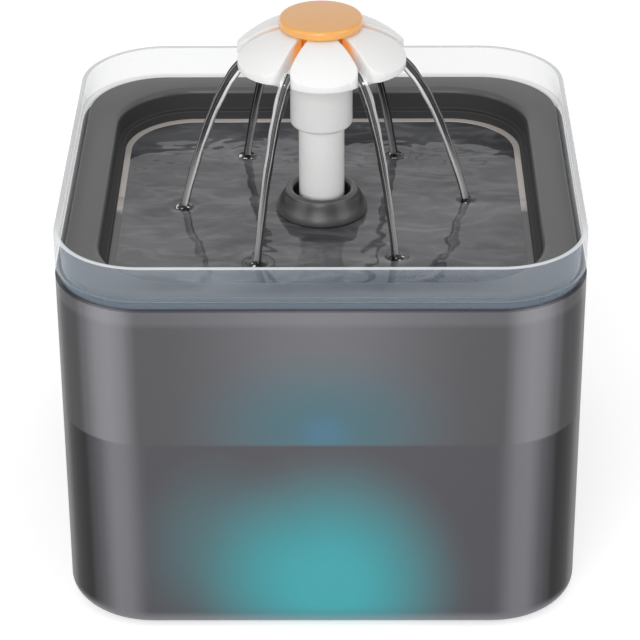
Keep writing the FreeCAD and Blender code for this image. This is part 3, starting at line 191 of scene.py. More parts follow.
class Bench:
    """The modelling steps that the pieces share. Sizes in millimetres."""

    CORNER_CHORDS = 20
    TURNED_SIDES = 96
    SEAM = 1e-6

    @staticmethod
    def clear() -> None:
        """Deselect everything."""
        bpy.ops.object.select_all(action="DESELECT")

    @staticmethod
    def take(*pieces: Piece) -> None:
        """Select these pieces alone and make the first of them active."""
        Bench.clear()
        for piece in pieces:
            piece.select_set(True)
        bpy.context.view_layer.objects.active = pieces[0]

    @staticmethod
    def edit() -> None:
        """Open the active piece for editing, with all its points selected."""
        bpy.ops.object.mode_set(mode="EDIT")
        bpy.ops.mesh.select_mode(type="VERT")
        bpy.ops.mesh.select_all(action="SELECT")

    @staticmethod
    def raise_edge(height: float) -> None:
        """Extrude what is selected straight up, or down by a negative height."""
        bpy.ops.mesh.extrude_region_move(TRANSFORM_OT_translate={"value": (0, 0, height * MM)})

    @staticmethod
    def finish(piece: Piece, name: str, angle: float = 32.0) -> Piece:
        """Close a piece's seams, turn its faces outward and shade it.

        Args:
            piece: The modelled object, in object mode.
            name: The piece's name.
            angle: Edges sharper than this many degrees stay sharp.

        Returns:
            The same object.
        """
        Bench.take(piece)
        piece.name = name
        piece.data.name = name
        bpy.ops.object.transform_apply(location=True, rotation=True, scale=True)
        Bench.edit()
        bpy.ops.mesh.remove_doubles(threshold=Bench.SEAM)
        bpy.ops.mesh.normals_make_consistent(inside=False)
        bpy.ops.object.mode_set(mode="OBJECT")
        bpy.ops.object.shade_smooth_by_angle(angle=math.radians(angle))
        piece.select_set(False)
        return piece

    @staticmethod
    def apply(piece: Piece, modifier: bpy.types.Modifier) -> None:
        """Apply one modifier of a piece."""
        Bench.take(piece)
        bpy.ops.object.modifier_apply(modifier=modifier.name)
        piece.select_set(False)

    @staticmethod
    def join(pieces: Sequence[Piece]) -> Piece:
        """Join several objects into the first, which is returned."""
        Bench.take(*pieces)
        bpy.ops.object.join()
        pieces[0].select_set(False)
        return pieces[0]

    @staticmethod
    def copy(piece: Piece) -> Piece:
        """Return a copy of a piece with its own mesh."""
        twin = piece.copy()
        twin.data = piece.data.copy()
        bpy.context.collection.objects.link(twin)
        return twin

    @staticmethod
    def block(size: Place, middle: Place) -> Piece:
        """Return a box of a size round a point."""
        Bench.clear()
        bpy.ops.mesh.primitive_cube_add(size=1, location=[part * MM for part in middle])
        block = bpy.context.object
        block.scale = [part * MM for part in size]
        return block

    @staticmethod
    def square_stack(name: str, rings: Sequence[Ring]) -> Piece:
        """Build a closed form through square or round levels: each is extruded from the one before and resized.

        Args:
            name: The piece's name.
            rings: The levels, in order round the section; the last joins the first.

        Returns:
            The new object.
        """
        first = rings[0]
        Bench.clear()
        bpy.ops.mesh.primitive_plane_add(size=2 * first.half * MM, location=(0, 0, first.z * MM))
        piece = bpy.context.object
        bpy.ops.object.transform_apply(location=True)
        Bench.edit()
        bpy.ops.mesh.bevel(offset_type="OFFSET", offset=(first.half - first.core) * MM,
                           segments=Bench.CORNER_CHORDS, profile=0.5, affect="VERTICES")
        bpy.ops.mesh.delete(type="ONLY_FACE")
        bpy.ops.mesh.select_all(action="SELECT")
        before = first
        for ring in (*rings[1:], first):
            Bench.raise_edge(ring.z - before.z)
            mesh = bmesh.from_edit_mesh(piece.data)
            for vert in mesh.verts:
                if vert.select:
                    vert.co.x, vert.co.y = before.moved(ring, vert.co.x / MM, vert.co.y / MM)
            bmesh.update_edit_mesh(piece.data)
            before = ring
        bpy.ops.object.mode_set(mode="OBJECT")
        return Bench.finish(piece, name)

    @staticmethod
    def lathe(name: str, section: Sequence[Point], closed: bool = True) -> Piece:
        """Turn a section about the vertical axis.

        Args:
            name: The piece's name.
            section: Radii and heights, in order.
            closed: Whether the last point joins the first; if not, the ends are closed on the axis.

        Returns:
            The new object.
        """
        Bench.clear()
        radius, level = section[0]
        bpy.ops.mesh.primitive_circle_add(vertices=Bench.TURNED_SIDES, radius=radius * MM, fill_type="NOTHING",
                                          location=(0, 0, level * MM))
        piece = bpy.context.object
        bpy.ops.object.transform_apply(location=True)
        Bench.edit()
        for wide, high in (*section[1:], *section[:1 if closed else 0]):
            Bench.raise_edge(high - level)
            ratio = wide / radius
            bpy.ops.transform.resize(value=(ratio, ratio, 1), center_override=(0, 0, high * MM))
            radius, level = wide, high
        if not closed:
            bpy.ops.mesh.edge_face_add()
            bpy.ops.mesh.select_non_manifold()
            bpy.ops.mesh.edge_face_add()
        bpy.ops.object.mode_set(mode="OBJECT")
        return Bench.finish(piece, name)

    @staticmethod
    def subtract(piece: Piece, tool: Piece) -> None:
        """Cut one object out of another and remove the cutter."""
        modifier = piece.modifiers.new("cut", "BOOLEAN")
        modifier.operation = "DIFFERENCE"
        modifier.solver = "EXACT"
        modifier.object = tool
        Bench.apply(piece, modifier)
        bpy.data.objects.remove(tool)


# Finishes

class Nodes:
    """A small helper that wires a node tree."""

    def __init__(self, tree: bpy.types.NodeTree) -> None:
        """Keep the tree."""
        self.tree = tree

    @classmethod
    def material(cls, name: str) -> tuple[bpy.types.Material, Nodes, bpy.types.Node]:
        """Return a new material, its wiring helper and its shader."""
        material = bpy.data.materials.new(name)
        material.use_nodes = True
        return material, cls(material.node_tree), material.node_tree.nodes["Principled BSDF"]

    def add(self, kind: str, **settings: object) -> bpy.types.Node:
        """Add a node and set its properties."""
        node = self.tree.nodes.new(kind)
        for key, value in settings.items():
            setattr(node, key, value)
        return node

    def link(self, source: Socket, target: Socket) -> None:
        """Join an output to an input."""
        self.tree.links.new(source, target)

    def feed(self, socket: Socket, value: object) -> None:
        """Give a socket a number, a colour or another node's output."""
        if isinstance(value, Socket):
            self.link(value, socket)
        else:
            socket.default_value = (*value, 1.0) if socket.type == "RGBA" else value

    def fill(self, node: bpy.types.Node, values: dict[str | int, object]) -> None:
        """Feed several sockets of a node, by their names or numbers."""
        for key, value in values.items():
            self.feed(node.inputs[key], value)

    def math(self, operation: str, first: object, second: object = 0.0, clamp: bool = False) -> Socket:
        """Return the result of a math node."""
        node = self.add("ShaderNodeMath", operation=operation, use_clamp=clamp)
        self.fill(node, {0: first, 1: second})
        return node.outputs[0]

    def plus(self, first: object, second: object, clamp: bool = False) -> Socket:
        """Return a sum, held between 0 and 1 if it is clamped."""
        return self.math("ADD", first, second, clamp)

    def less(self, first: object, second: object) -> Socket:
        """Return a difference."""
        return self.math("SUBTRACT", first, second)

    def times(self, *factors: object) -> Socket:
        """Return a product."""
        product = factors[0]
        for factor in factors[1:]:
            product = self.math("MULTIPLY", product, factor)
        return product

    def share(self, value: Socket, start: float, length: float) -> Socket:
        """Return how far value is along a stretch, from 0 to 1."""
        return self.math("DIVIDE", self.less(value, start), length, clamp=True)

    def ramp(self, value: object, low: float, high: float, start: float = 0.0, end: float = 1.0) -> Socket:
        """Return a smooth change from start to end while value goes from low to high."""
        node = self.add("ShaderNodeMapRange", interpolation_type="SMOOTHSTEP", clamp=True)
        self.fill(node, dict(enumerate((value, low, high, start, end))))
        return node.outputs[0]

    def fall(self, value: object, low: float, high: float) -> Socket:
        """Return a smooth change from 1 to 0 while value goes from low to high."""
        return self.ramp(value, low, high, 1.0, 0.0)

    def window(self, value: object, rise: Point, fall: Point) -> Socket:
        """Return 1 between two soft limits of value and 0 outside them."""
        return self.times(self.ramp(value, *rise), self.fall(value, *fall))

    def curve(self, value: object, stops: Sequence[Point]) -> Socket:
        """Return a level that runs smoothly through stops while value goes from 0 to 1.

        Args:
            value: What the level follows.
            stops: Positions and levels in order; the first stands at 0 and the last at 1.
        """
        node = self.add("ShaderNodeValToRGB")
        node.color_ramp.interpolation = "CARDINAL"
        elements = node.color_ramp.elements
        elements[0].color = (*[stops[0][1]] * 3, 1)
        elements[1].color = (*[stops[-1][1]] * 3, 1)
        for position, level in stops[1:-1]:
            elements.new(position).color = (level, level, level, 1)
        self.feed(node.inputs["Fac"], value)
        return node.outputs["Color"]

    def between(self, share: object, first: object, second: object) -> Socket:
        """Return a number between two others."""
        node = self.add("ShaderNodeMix", data_type="FLOAT")
        self.fill(node, {0: share, 2: first, 3: second})
        return node.outputs[0]

    def mix(self, share: object, first: object, second: object, blend: str = "MIX") -> Socket:
        """Return a mix of two colours."""
        node = self.add("ShaderNodeMix", data_type="RGBA", blend_type=blend)
        self.fill(node, {0: share, 6: first, 7: second})
        return node.outputs[2]

    def scaled(self, colour: object, level: object) -> Socket:
        """Return a colour made lighter or darker by a level."""
        node = self.add("ShaderNodeVectorMath", operation="SCALE")
        self.fill(node, {0: colour, "Scale": level})
        return node.outputs[0]

    def noise(self, vector: Socket, scale: object, detail: float, distortion: float = 0.0) -> Socket:
        """Return a noise between 0 and 1."""
        node = self.add("ShaderNodeTexNoise")
        self.fill(node, {"Vector": vector, "Scale": scale, "Detail": detail, "Distortion": distortion})
        return node.outputs["Fac"]

    def cloud(self, scale: float, detail: float = 2.0, distortion: float = 0.0, stretch: Place = (1, 1, 1)) -> Socket:
        """Return a noise on the object's own coordinates, which may be stretched."""
        return self.noise(self.place(scale=stretch), scale, detail, distortion)

    def place(self, offset: Place = (0, 0, 0), scale: Place = (1, 1, 1)) -> Socket:
        """Return the object's own coordinates, scaled and moved."""
        coordinates = self.add("ShaderNodeTexCoord").outputs["Object"]
        if offset == (0, 0, 0) and scale == (1, 1, 1):
            return coordinates
        node = self.add("ShaderNodeMapping", vector_type="POINT")
        self.fill(node, {"Vector": coordinates, "Location": offset, "Scale": scale})
        return node.outputs[0]

    def axes(self) -> tuple[Socket, Socket, Socket]:
        """Return a point's three own coordinates."""
        split = self.add("ShaderNodeSeparateXYZ")
        self.link(self.place(), split.inputs[0])
        return tuple(split.outputs)

    def length(self, offset: Place, scale: Place) -> Socket:
        """Return how far a point is from the origin once its coordinates are scaled and moved."""
        node = self.add("ShaderNodeVectorMath", operation="LENGTH")
        self.link(self.place(offset, scale), node.inputs[0])
        return node.outputs["Value"]

    def spread(self, centre: Place, reach: Place, core: float) -> Socket:
        """Return a soft oval spot, 1 inside its core and 0 outside its reach.

        Args:
            centre: The spot's middle.
            reach: How far the spot reaches along each axis.
            core: The share of the reach that is full.
        """
        scale = tuple(1 / size for size in reach)
        offset = tuple(-at * by for at, by in zip(centre, scale))
        return self.fall(self.length(offset, scale), core, 1.0)

    def bump(self, height: Socket, depth: float) -> Socket:
        """Return a normal that follows a height, as deep as given in metres."""
        node = self.add("ShaderNodeBump")
        self.fill(node, {"Strength": 1.0, "Distance": depth, "Height": height})
        return node.outputs["Normal"]

    def seen(self) -> Socket:
        """Return 1 for what the camera sees, straight, through clear things or in gloss."""
        path = self.add("ShaderNodeLightPath").outputs
        straight = self.math("MAXIMUM", path["Is Camera Ray"], path["Is Transmission Ray"])
        return self.math("MAXIMUM", straight, path["Is Glossy Ray"])


class SurfaceGroup:
    """The fine unevenness of moulded plastic, shared by every moulded finish."""

    NAME = "moulded_surface"
    CLOUD_SCALE = 28.0
    CLOUD_DETAIL = 3.0
    GRAIN_DETAIL = 2.0
    ROUGHNESS_SHIFT = 0.08

    @classmethod
    def get(cls) -> bpy.types.NodeTree:
        """Return the group, building it the first time."""
        group = bpy.data.node_groups.get(cls.NAME)
        if group:
            return group
        group = bpy.data.node_groups.new(cls.NAME, "ShaderNodeTree")
        sockets = (("Vector", "INPUT", "Vector"), ("Colour", "INPUT", "Color"), ("Shift", "INPUT", "Float"),
                   ("Roughness", "INPUT", "Float"), ("Grain", "INPUT", "Float"), ("Colour", "OUTPUT", "Color"),
                   ("Roughness", "OUTPUT", "Float"), ("Height", "OUTPUT", "Float"))
        for name, side, kind in sockets:
            group.interface.new_socket(name=name, in_out=side, socket_type=f"NodeSocket{kind}")
        nodes = Nodes(group)
        given, out = nodes.add("NodeGroupInput").outputs, nodes.add("NodeGroupOutput")
        swing = nodes.less(nodes.noise(given["Vector"], cls.CLOUD_SCALE, cls.CLOUD_DETAIL), 0.5)
        level = nodes.plus(nodes.times(swing, given["Shift"]), 1.0)
        rough = nodes.plus(given["Roughness"], nodes.times(swing, cls.ROUGHNESS_SHIFT), clamp=True)
        nodes.fill(out, {"Colour": nodes.scaled(given["Colour"], level), "Roughness": rough,
                         "Height": nodes.noise(given["Vector"], given["Grain"], cls.GRAIN_DETAIL)})
        return group


@dataclass(frozen=True)
class Moulded:
    """An opaque moulded finish.

    Attributes:
        name: The material's name.
        colour: The base colour.
        roughness: The mean roughness.
        shift: How much the colour wanders.
        grain: The grain's frequency.
        relief: How deep the grain is, in metres.
        coat: The weight of a clear gloss.
        metallic: 1 for a metal.
        soft: The weight of light that passes under the surface.
    """

    name: str
    colour: Colour
    roughness: float = 0.32
    shift: float = 0.06
    grain: float = 420.0
    relief: float = 0.00002
    coat: float = 0.0
    metallic: float = 0.0
    soft: float = 0.0

    COAT_ROUGHNESS = 0.08
    SOFT_RADIUS = (1.0, 0.6, 0.45)
    SOFT_DEPTH = 0.004

    def begin(self) -> tuple[bpy.types.Material, Nodes, bpy.types.Node]:
        """Return a new material, its wiring helper and its shader."""
        material, nodes, shader = Nodes.material(self.name)
        nodes.fill(shader, {"Metallic": self.metallic})
        if self.coat:
            nodes.fill(shader, {"Coat Weight": self.coat, "Coat Roughness": self.COAT_ROUGHNESS})
        if self.soft:
            nodes.fill(shader, {"Subsurface Weight": self.soft, "Subsurface Radius": self.SOFT_RADIUS,
                                "Subsurface Scale": self.SOFT_DEPTH})
        return material, nodes, shader

    def surface(self, nodes: Nodes, shader: bpy.types.Node, colour: object, roughness: object = None) -> None:
        """Lay the moulded unevenness over a colour and feed the shader with it.

        Args:
            nodes: The material's wiring helper.
            shader: The material's shader.
            colour: A colour, or the output that gives it.
            roughness: The output that gives the roughness, where it isn't the finish's own.
        """
        group = nodes.add("ShaderNodeGroup")
        group.node_tree = SurfaceGroup.get()
        nodes.fill(group, {"Vector": nodes.place(), "Colour": colour, "Shift": self.shift, "Grain": self.grain,
                           "Roughness": self.roughness if roughness is None else roughness})
        nodes.fill(shader, {"Base Color": group.outputs["Colour"], "Roughness": group.outputs["Roughness"],
                            "Normal": nodes.bump(group.outputs["Height"], self.relief)})

    def build(self) -> bpy.types.Material:
        """Return the finished material."""
        material, nodes, shader = self.begin()
        self.surface(nodes, shader, self.colour)
        return material


@dataclass(frozen=True)
class SmokeTank(Moulded):
    """Smoke-grey plastic with its water line, painted highlight and shade bands on its round corners, a painted floor
    reflection at its foot and the lamp's glow painted on as emission.

    Attributes:
        water_z: The height of the water line.
        corner_start: Where the flat sides end, from the middle lines.
        rim_z: Where the paler top band begins.
        wet_colour: The tint below the water line.
        glow: The light of the lamp under water.
        haze: The light that the water line throws up.
        spot: The small blue core of that light.
    """

    name: str = "smoke_tank"
    colour: Colour = (1.0, 0.985, 1.06)
    roughness: float = 0.34
    shift: float = 0.04
    water_z: float = 0.0738
    corner_start: float = 0.0575
    rim_z: float = 0.1175
    wet_colour: Colour = (1.0, 0.98, 1.08)
    glow: Colour = (0.012, 0.318, 0.35)
    haze: Colour = (0.0, 0.085, 0.11)
    spot: Colour = (0.0, 0.02, 0.07)

    # The painted highlight and shade bands round the corners, above and below the water line
    DRY_CORNER_SHADING = ((0.0, 0.091), (0.06, 0.102), (0.13, 0.165), (0.22, 0.214), (0.30, 0.216), (0.37, 0.186), (0.43, 0.128),
           (0.48, 0.095), (0.52, 0.055), (0.60, 0.038), (0.68, 0.028), (0.74, 0.045), (0.80, 0.10), (0.90, 0.08),
           (1.0, 0.091))
    WET_CORNER_SHADING = ((0.0, 0.084), (0.06, 0.105), (0.13, 0.15), (0.20, 0.172), (0.27, 0.163), (0.34, 0.108), (0.40, 0.07),
           (0.455, 0.04), (0.49, 0.013), (0.57, 0.006), (0.64, 0.006), (0.69, 0.02), (0.77, 0.08), (0.90, 0.07),
           (1.0, 0.084))
    # How much painted light lifts the middle of a flat side
    DRY_MIDDLE_LIGHT = 1.72
    WET_MIDDLE_LIGHT = 1.12
    # The soft start of the top band and how much lighter it is
    RIM_BLUR = 0.003
    RIM_LIFT = 0.035
    # The pale foot, a painted reflection of the white floor: where it fades out and how light it is
    FOOT_FLOOR_REFLECTION = (0.0035, 0.0075)
    FOOT_REFLECTION_LEVEL = 0.2
    # Half the water line's blur
    LINE_BLUR = 0.0006
    # Spots of light, by middle, reach and full share: the lamp, its side lobe, the haze and the haze's core
    LAMP = ((0.003, -0.0875, 0.018), (0.050, 0.06, 0.058), 0.12)
    LOBE = ((-0.034, -0.0875, 0.032), (0.032, 0.05, 0.044), 0.1)
    HAZE = ((0.0, -0.0875, 0.080), (0.052, 0.05, 0.037), 0.08)
    CORE = ((0.001, -0.0875, 0.0785), (0.013, 0.03, 0.010), 0.0)
    LOBE_SHARE = 0.25
    # Between these heights the lamp grows from the share that it keeps at the floor to its full light
    FLOOR_FADE = (0.001, 0.010)
    FLOOR_SHARE = 0.35
    # How much of the plastic's own lightness the lamp leaves and the haze takes
    LAMP_LEAVES = 0.56
    HAZE_TAKES = 0.46
    SPECULAR = 0.12

    def corner_turn(self, nodes: Nodes, x: Socket, y: Socket) -> Socket:
        """Return how far a point is round its corner, from 0 on the front and back to 1 on the sides."""
        over_x, over_y = (nodes.math("MAXIMUM", nodes.less(axis, self.corner_start), 0.0) for axis in (x, y))
        return nodes.math("DIVIDE", nodes.math("ARCTAN2", over_x, over_y), math.pi / 2)

    def level(self, nodes: Nodes, wet: Socket) -> Socket:
        """Return the plastic's painted light and shade at a point, before the lamp's glow.

        Args:
            nodes: The material's wiring helper.
            wet: 1 below the water line and 0 above.
        """
        x, y, z = nodes.axes()
        x, y = nodes.math("ABSOLUTE", x), nodes.math("ABSOLUTE", y)
        turn = self.corner_turn(nodes, x, y)
        across = nodes.math("MINIMUM", x, y)
        # Painted light and shade: highlight and dark bands round the corners, lighter in the middle of each flat side
        dry, under = (nodes.times(nodes.curve(turn, stops), nodes.ramp(across, 0.0, self.corner_start, middle, 1.0))
                      for stops, middle in ((self.DRY_CORNER_SHADING, self.DRY_MIDDLE_LIGHT), (self.WET_CORNER_SHADING, self.WET_MIDDLE_LIGHT)))
        dry = nodes.plus(dry, nodes.ramp(z, self.rim_z, self.rim_z + self.RIM_BLUR, 0.0, self.RIM_LIFT))
        # Painted reflection of the white floor along the foot
        under = nodes.between(nodes.fall(z, *self.FOOT_FLOOR_REFLECTION), under, self.FOOT_REFLECTION_LEVEL)
        return nodes.between(wet, dry, under)

    def build(self) -> bpy.types.Material:
        """Return the finished material."""
        material, nodes, shader = self.begin()
        z = nodes.axes()[2]
        wet = nodes.fall(z, self.water_z - self.LINE_BLUR, self.water_z + self.LINE_BLUR)
        dry = nodes.less(1.0, wet)
        lamp = nodes.plus(nodes.spread(*self.LAMP), nodes.times(nodes.spread(*self.LOBE), self.LOBE_SHARE), clamp=True)
        lamp = nodes.times(lamp, nodes.ramp(z, *self.FLOOR_FADE, self.FLOOR_SHARE, 1.0), wet)
        haze, core = (nodes.times(nodes.spread(*spot), dry) for spot in (self.HAZE, self.CORE))
        dim = nodes.less(nodes.ramp(lamp, 0.0, 1.0, 1.0, self.LAMP_LEAVES), nodes.times(haze, self.HAZE_TAKES))
        tint = nodes.mix(wet, self.colour, self.wet_colour)
        self.surface(nodes, shader, nodes.scaled(tint, nodes.times(self.level(nodes, wet), dim)))
        glow = nodes.mix(lamp, BLACK, self.glow)
        for share, light in ((haze, self.haze), (core, self.spot)):
            glow = nodes.mix(1.0, glow, nodes.mix(share, BLACK, light), "ADD")
        nodes.fill(shader, {"Specular IOR Level": self.SPECULAR, "Emission Color": glow, "Emission Strength": 1.0})
        return material


@dataclass(frozen=True)
class Veil(Moulded):
    """Clear plastic that shows as a thin pale veil, with a painted highlight along its top rim and painted shade lines
    above the tank.

    Attributes:
        veil: How much of the light each face of a wall stops.
        rim_z: Where the painted rim highlight begins.
        foot_z: Where the painted shade lines above the tank begin.
        foot_height: How far they reach up.
        streak: The tint of the darker streaks in the walls.
        line: The tint of the painted shade lines.
        band_low: Where the paler band above the tank's rim begins.
        band_high: Where it ends.
        rim: The tint of the painted rim highlight over the dark tray.
        far_rim: The tint of the rim against the white behind.
        far: The tint of the side and back walls.
    """

    veil: float = 0.09
    rim_z: float = 0.1392
    foot_z: float = 0.1236
    foot_height: float = 0.006
    streak: Colour = (0.25, 0.34, 0.46)
    line: Colour = (0.07, 0.08, 0.1)
    band_low: float = 0.1248
    band_high: float = 0.1264
    rim: Colour = (0.95, 0.96, 0.98)
    far_rim: Colour = (0.5, 0.51, 0.53)
    far: Colour = (0.7, 0.72, 0.74)

    # The painted shade lines upwards from foot_z: in the gap at the tank's rim and under the overhang
    SHADE_LINES = ((0.0, 0.8), (0.12, 0.8), (0.22, 0.05), (0.5, 0.0), (0.58, 0.3), (0.64, 0.75), (0.72, 0.6), (0.86, 0.0),
             (1.0, 0.0))
    # From front to back: where the walls turn greyer
    TURN = (-0.075, -0.045)
    # The streaks' noise, the part of it that shows, and where they fade in and out in height and towards the corners
    STREAK_CLOUD = (14.0, 2.0, 1.2, (1.0, 1.0, 6.0))
    STREAK_PART = (0.3, 0.55)
    STREAK_RISE = (0.1300, 0.1325)
    STREAK_FALL = (0.1362, 0.1385)
    STREAK_SIDE = (0.045, 0.07)
    # How soft the edges of the painted rim highlight, the painted shade lines and the band are
    RIM_BLUR = 0.0004
    LINE_BLUR = 0.0002
    BAND_BLUR = 0.0003
    # How much light a slanting wall, the painted rim highlight, the painted shade lines and the band stop
    SLANT_POWER = 3.0
    SLANT_STOP = 0.35
    RIM_STOP = 0.6
    SHADE_LINE_STOP = 0.25
    BAND_STOP = 0.12

    def build(self) -> bpy.types.Material:
        """Return the finished material."""
        material, nodes, shader = self.begin()
        x, y, z = nodes.axes()
        rim = nodes.ramp(z, self.rim_z, self.rim_z + self.RIM_BLUR)
        back = nodes.ramp(y, *self.TURN)
        streaks = nodes.ramp(nodes.cloud(*self.STREAK_CLOUD), *self.STREAK_PART)
        front = nodes.times(nodes.fall(nodes.math("ABSOLUTE", x), *self.STREAK_SIDE), nodes.less(1.0, back))
        middle = nodes.times(nodes.window(z, self.STREAK_RISE, self.STREAK_FALL), front)
        colour = nodes.mix(back, self.colour, self.far)
        colour = nodes.mix(nodes.times(streaks, middle), colour, self.streak)
        # Painted shade in the gap at the tank's rim and under the overhang
        lines = nodes.times(nodes.curve(nodes.share(z, self.foot_z, self.foot_height), self.SHADE_LINES),
                            nodes.ramp(z, self.foot_z - self.LINE_BLUR, self.foot_z))
        colour = nodes.mix(lines, colour, self.line)
        # Painted highlight along the top rim; at the back it is a grey line
        self.surface(nodes, shader, nodes.mix(rim, colour, nodes.mix(back, self.rim, self.far_rim)))
        edge = nodes.add("ShaderNodeLayerWeight")
        nodes.fill(edge, {"Blend": 0.5})
        slant = nodes.times(nodes.math("POWER", edge.outputs["Facing"], self.SLANT_POWER), self.SLANT_STOP)
        stop = nodes.plus(slant, nodes.ramp(rim, 0.0, 1.0, self.veil, self.RIM_STOP))
        stop = nodes.plus(stop, nodes.times(lines, self.SHADE_LINE_STOP))
        band = nodes.window(z, (self.band_low - self.BAND_BLUR, self.band_low),
                            (self.band_high, self.band_high + self.BAND_BLUR))
        nodes.fill(shader, {"Alpha": nodes.plus(stop, nodes.times(band, self.BAND_STOP), clamp=True)})
        return material


@dataclass(frozen=True)
class TrayPlastic(Moulded):
    """Dark tray plastic, duller on the basin's steep walls than on its ledge, with painted shade darkening those walls
    and painted highlight and shade bands up the boss.

    Attributes:
        wall: The painted shade tint of the walls.
        wall_roughness: Their roughness.
        boss_low: Where the boss leaves the water.
        boss_high: Its top.
    """

    wall: Colour = (0.022, 0.022, 0.023)
    wall_roughness: float = 0.72
    boss_low: float = 0.116
    boss_high: float = 0.1252

    # The painted highlight and shade bands up the boss, from the water to its top
    BOSS_SHADING = ((0.0, 0.25), (0.12, 0.4), (0.27, 1.45), (0.42, 1.0), (0.58, 0.42), (0.76, 0.32), (0.86, 0.7), (0.94, 1.3),
            (1.0, 1.3))
    # Where the walls end below the ledge, where they begin outside the basin's middle, and where the boss ends
    WALL_TOP = (0.1258, 0.1272)
    WALL_START = (0.05, 0.06)
    BOSS_END = (0.020, 0.022)

    def build(self) -> bpy.types.Material:
        """Return the finished material."""
        material, nodes, shader = self.begin()
        x, y, z = nodes.axes()
        away = nodes.math("MAXIMUM", nodes.math("ABSOLUTE", x), nodes.math("ABSOLUTE", y))
        # The steep basin walls: rougher, and darkened by painted shade
        steep = nodes.times(nodes.fall(z, *self.WALL_TOP), nodes.ramp(away, *self.WALL_START))
        rough = nodes.ramp(steep, 0.0, 1.0, self.roughness, self.wall_roughness)
        rise = nodes.share(z, self.boss_low, self.boss_high - self.boss_low)
        # Painted highlight and shade bands up the boss
        level = nodes.between(nodes.fall(away, *self.BOSS_END), 1.0, nodes.curve(rise, self.BOSS_SHADING))
        self.surface(nodes, shader, nodes.scaled(nodes.mix(steep, self.colour, self.wall), level), rough)
        return material


@dataclass(frozen=True)
class PetalPlastic(Moulded):
    """White plastic with a painted orange glow, in colour and emission, where the channels meet the orange plug.

    Attributes:
        shine: The painted orange glow of the plug in the channels.
        shine_start: Where the painted glow begins to fade, from the axis.
        shine_end: Where it is gone.
        dome_r: The distance of the petals' rounding centre from the axis.
        dome_z: Its height.
        dome_arc: The rounding's radius.
    """

    shine: Colour = (0.74, 0.37, 0.11)
    shine_start: float = 0.0135
    shine_end: float = 0.0195
    dome_r: float = 0.0067
    dome_z: float = 0.15426
    dome_arc: float = 0.032

    # How deep under the dome and how high up the painted glow shows, and how strongly it shines
    DEPTH = (0.0007, 0.0016)
    HEIGHT = (0.1755, 0.1775)
    STRENGTH = 0.36

    def build(self) -> bpy.types.Material:
        """Return the finished material."""
        material, nodes, shader = self.begin()
        radius, z = nodes.length((0, 0, 0), (1, 1, 0)), nodes.axes()[2]
        out, up = nodes.less(radius, self.dome_r), nodes.less(z, self.dome_z)
        square = nodes.plus(nodes.times(out, out), nodes.times(up, up))
        depth = nodes.less(self.dome_arc, nodes.math("SQRT", square))
        near = nodes.times(nodes.ramp(depth, *self.DEPTH), nodes.ramp(z, *self.HEIGHT),
                           nodes.fall(radius, self.shine_start, self.shine_end))
        # Painted orange glow of the plug on the channels, as colour and emission
        self.surface(nodes, shader, nodes.mix(near, self.colour, self.shine))
        nodes.fill(shader, {"Emission Color": nodes.mix(near, BLACK, self.shine), "Emission Strength": self.STRENGTH})
        return material


@dataclass(frozen=True)
class Clear:
    """A clear finish that light passes through.

    Attributes:
        name: The material's name.
        colour: The tint.
        ior: How strongly it bends light.
        roughness: The roughness.
        ripple: The depth of a fine unevenness, in metres.
        grain: Its frequency.
        through: How much light passes; the rest is scattered.
    """

    name: str
    colour: Colour
    ior: float
    roughness: float = 0.0
    ripple: float = 0.00001
    grain: float = 60.0
    through: float = 1.0

    PALER = 1.03
    ROUGHNESS_SHIFT = 0.02

    def tint(self, nodes: Nodes, cloud: Socket) -> Socket:
        """Return the tint, which wanders a little with a noise."""
        return nodes.mix(cloud, self.colour, tuple(min(1.0, part * self.PALER) for part in self.colour))

    def build(self) -> bpy.types.Material:
        """Return the finished material."""
        material, nodes, shader = Nodes.material(self.name)
        cloud = nodes.cloud(self.grain)
        rough = nodes.plus(nodes.times(cloud, self.ROUGHNESS_SHIFT), self.roughness)
        nodes.fill(shader, {"Transmission Weight": self.through, "IOR": self.ior, "Roughness": rough,
                            "Base Color": self.tint(nodes, cloud), "Normal": nodes.bump(cloud, self.ripple)})
        through = nodes.add("ShaderNodeBsdfTransparent")
        nodes.fill(through, {"Color": self.colour})
        blend = nodes.add("ShaderNodeMixShader")
        nodes.fill(blend, {0: nodes.add("ShaderNodeLightPath").outputs["Is Shadow Ray"], 1: shader.outputs[0],
                           2: through.outputs[0]})
        nodes.link(blend.outputs[0], material.node_tree.nodes["Material Output"].inputs["Surface"])
        return material


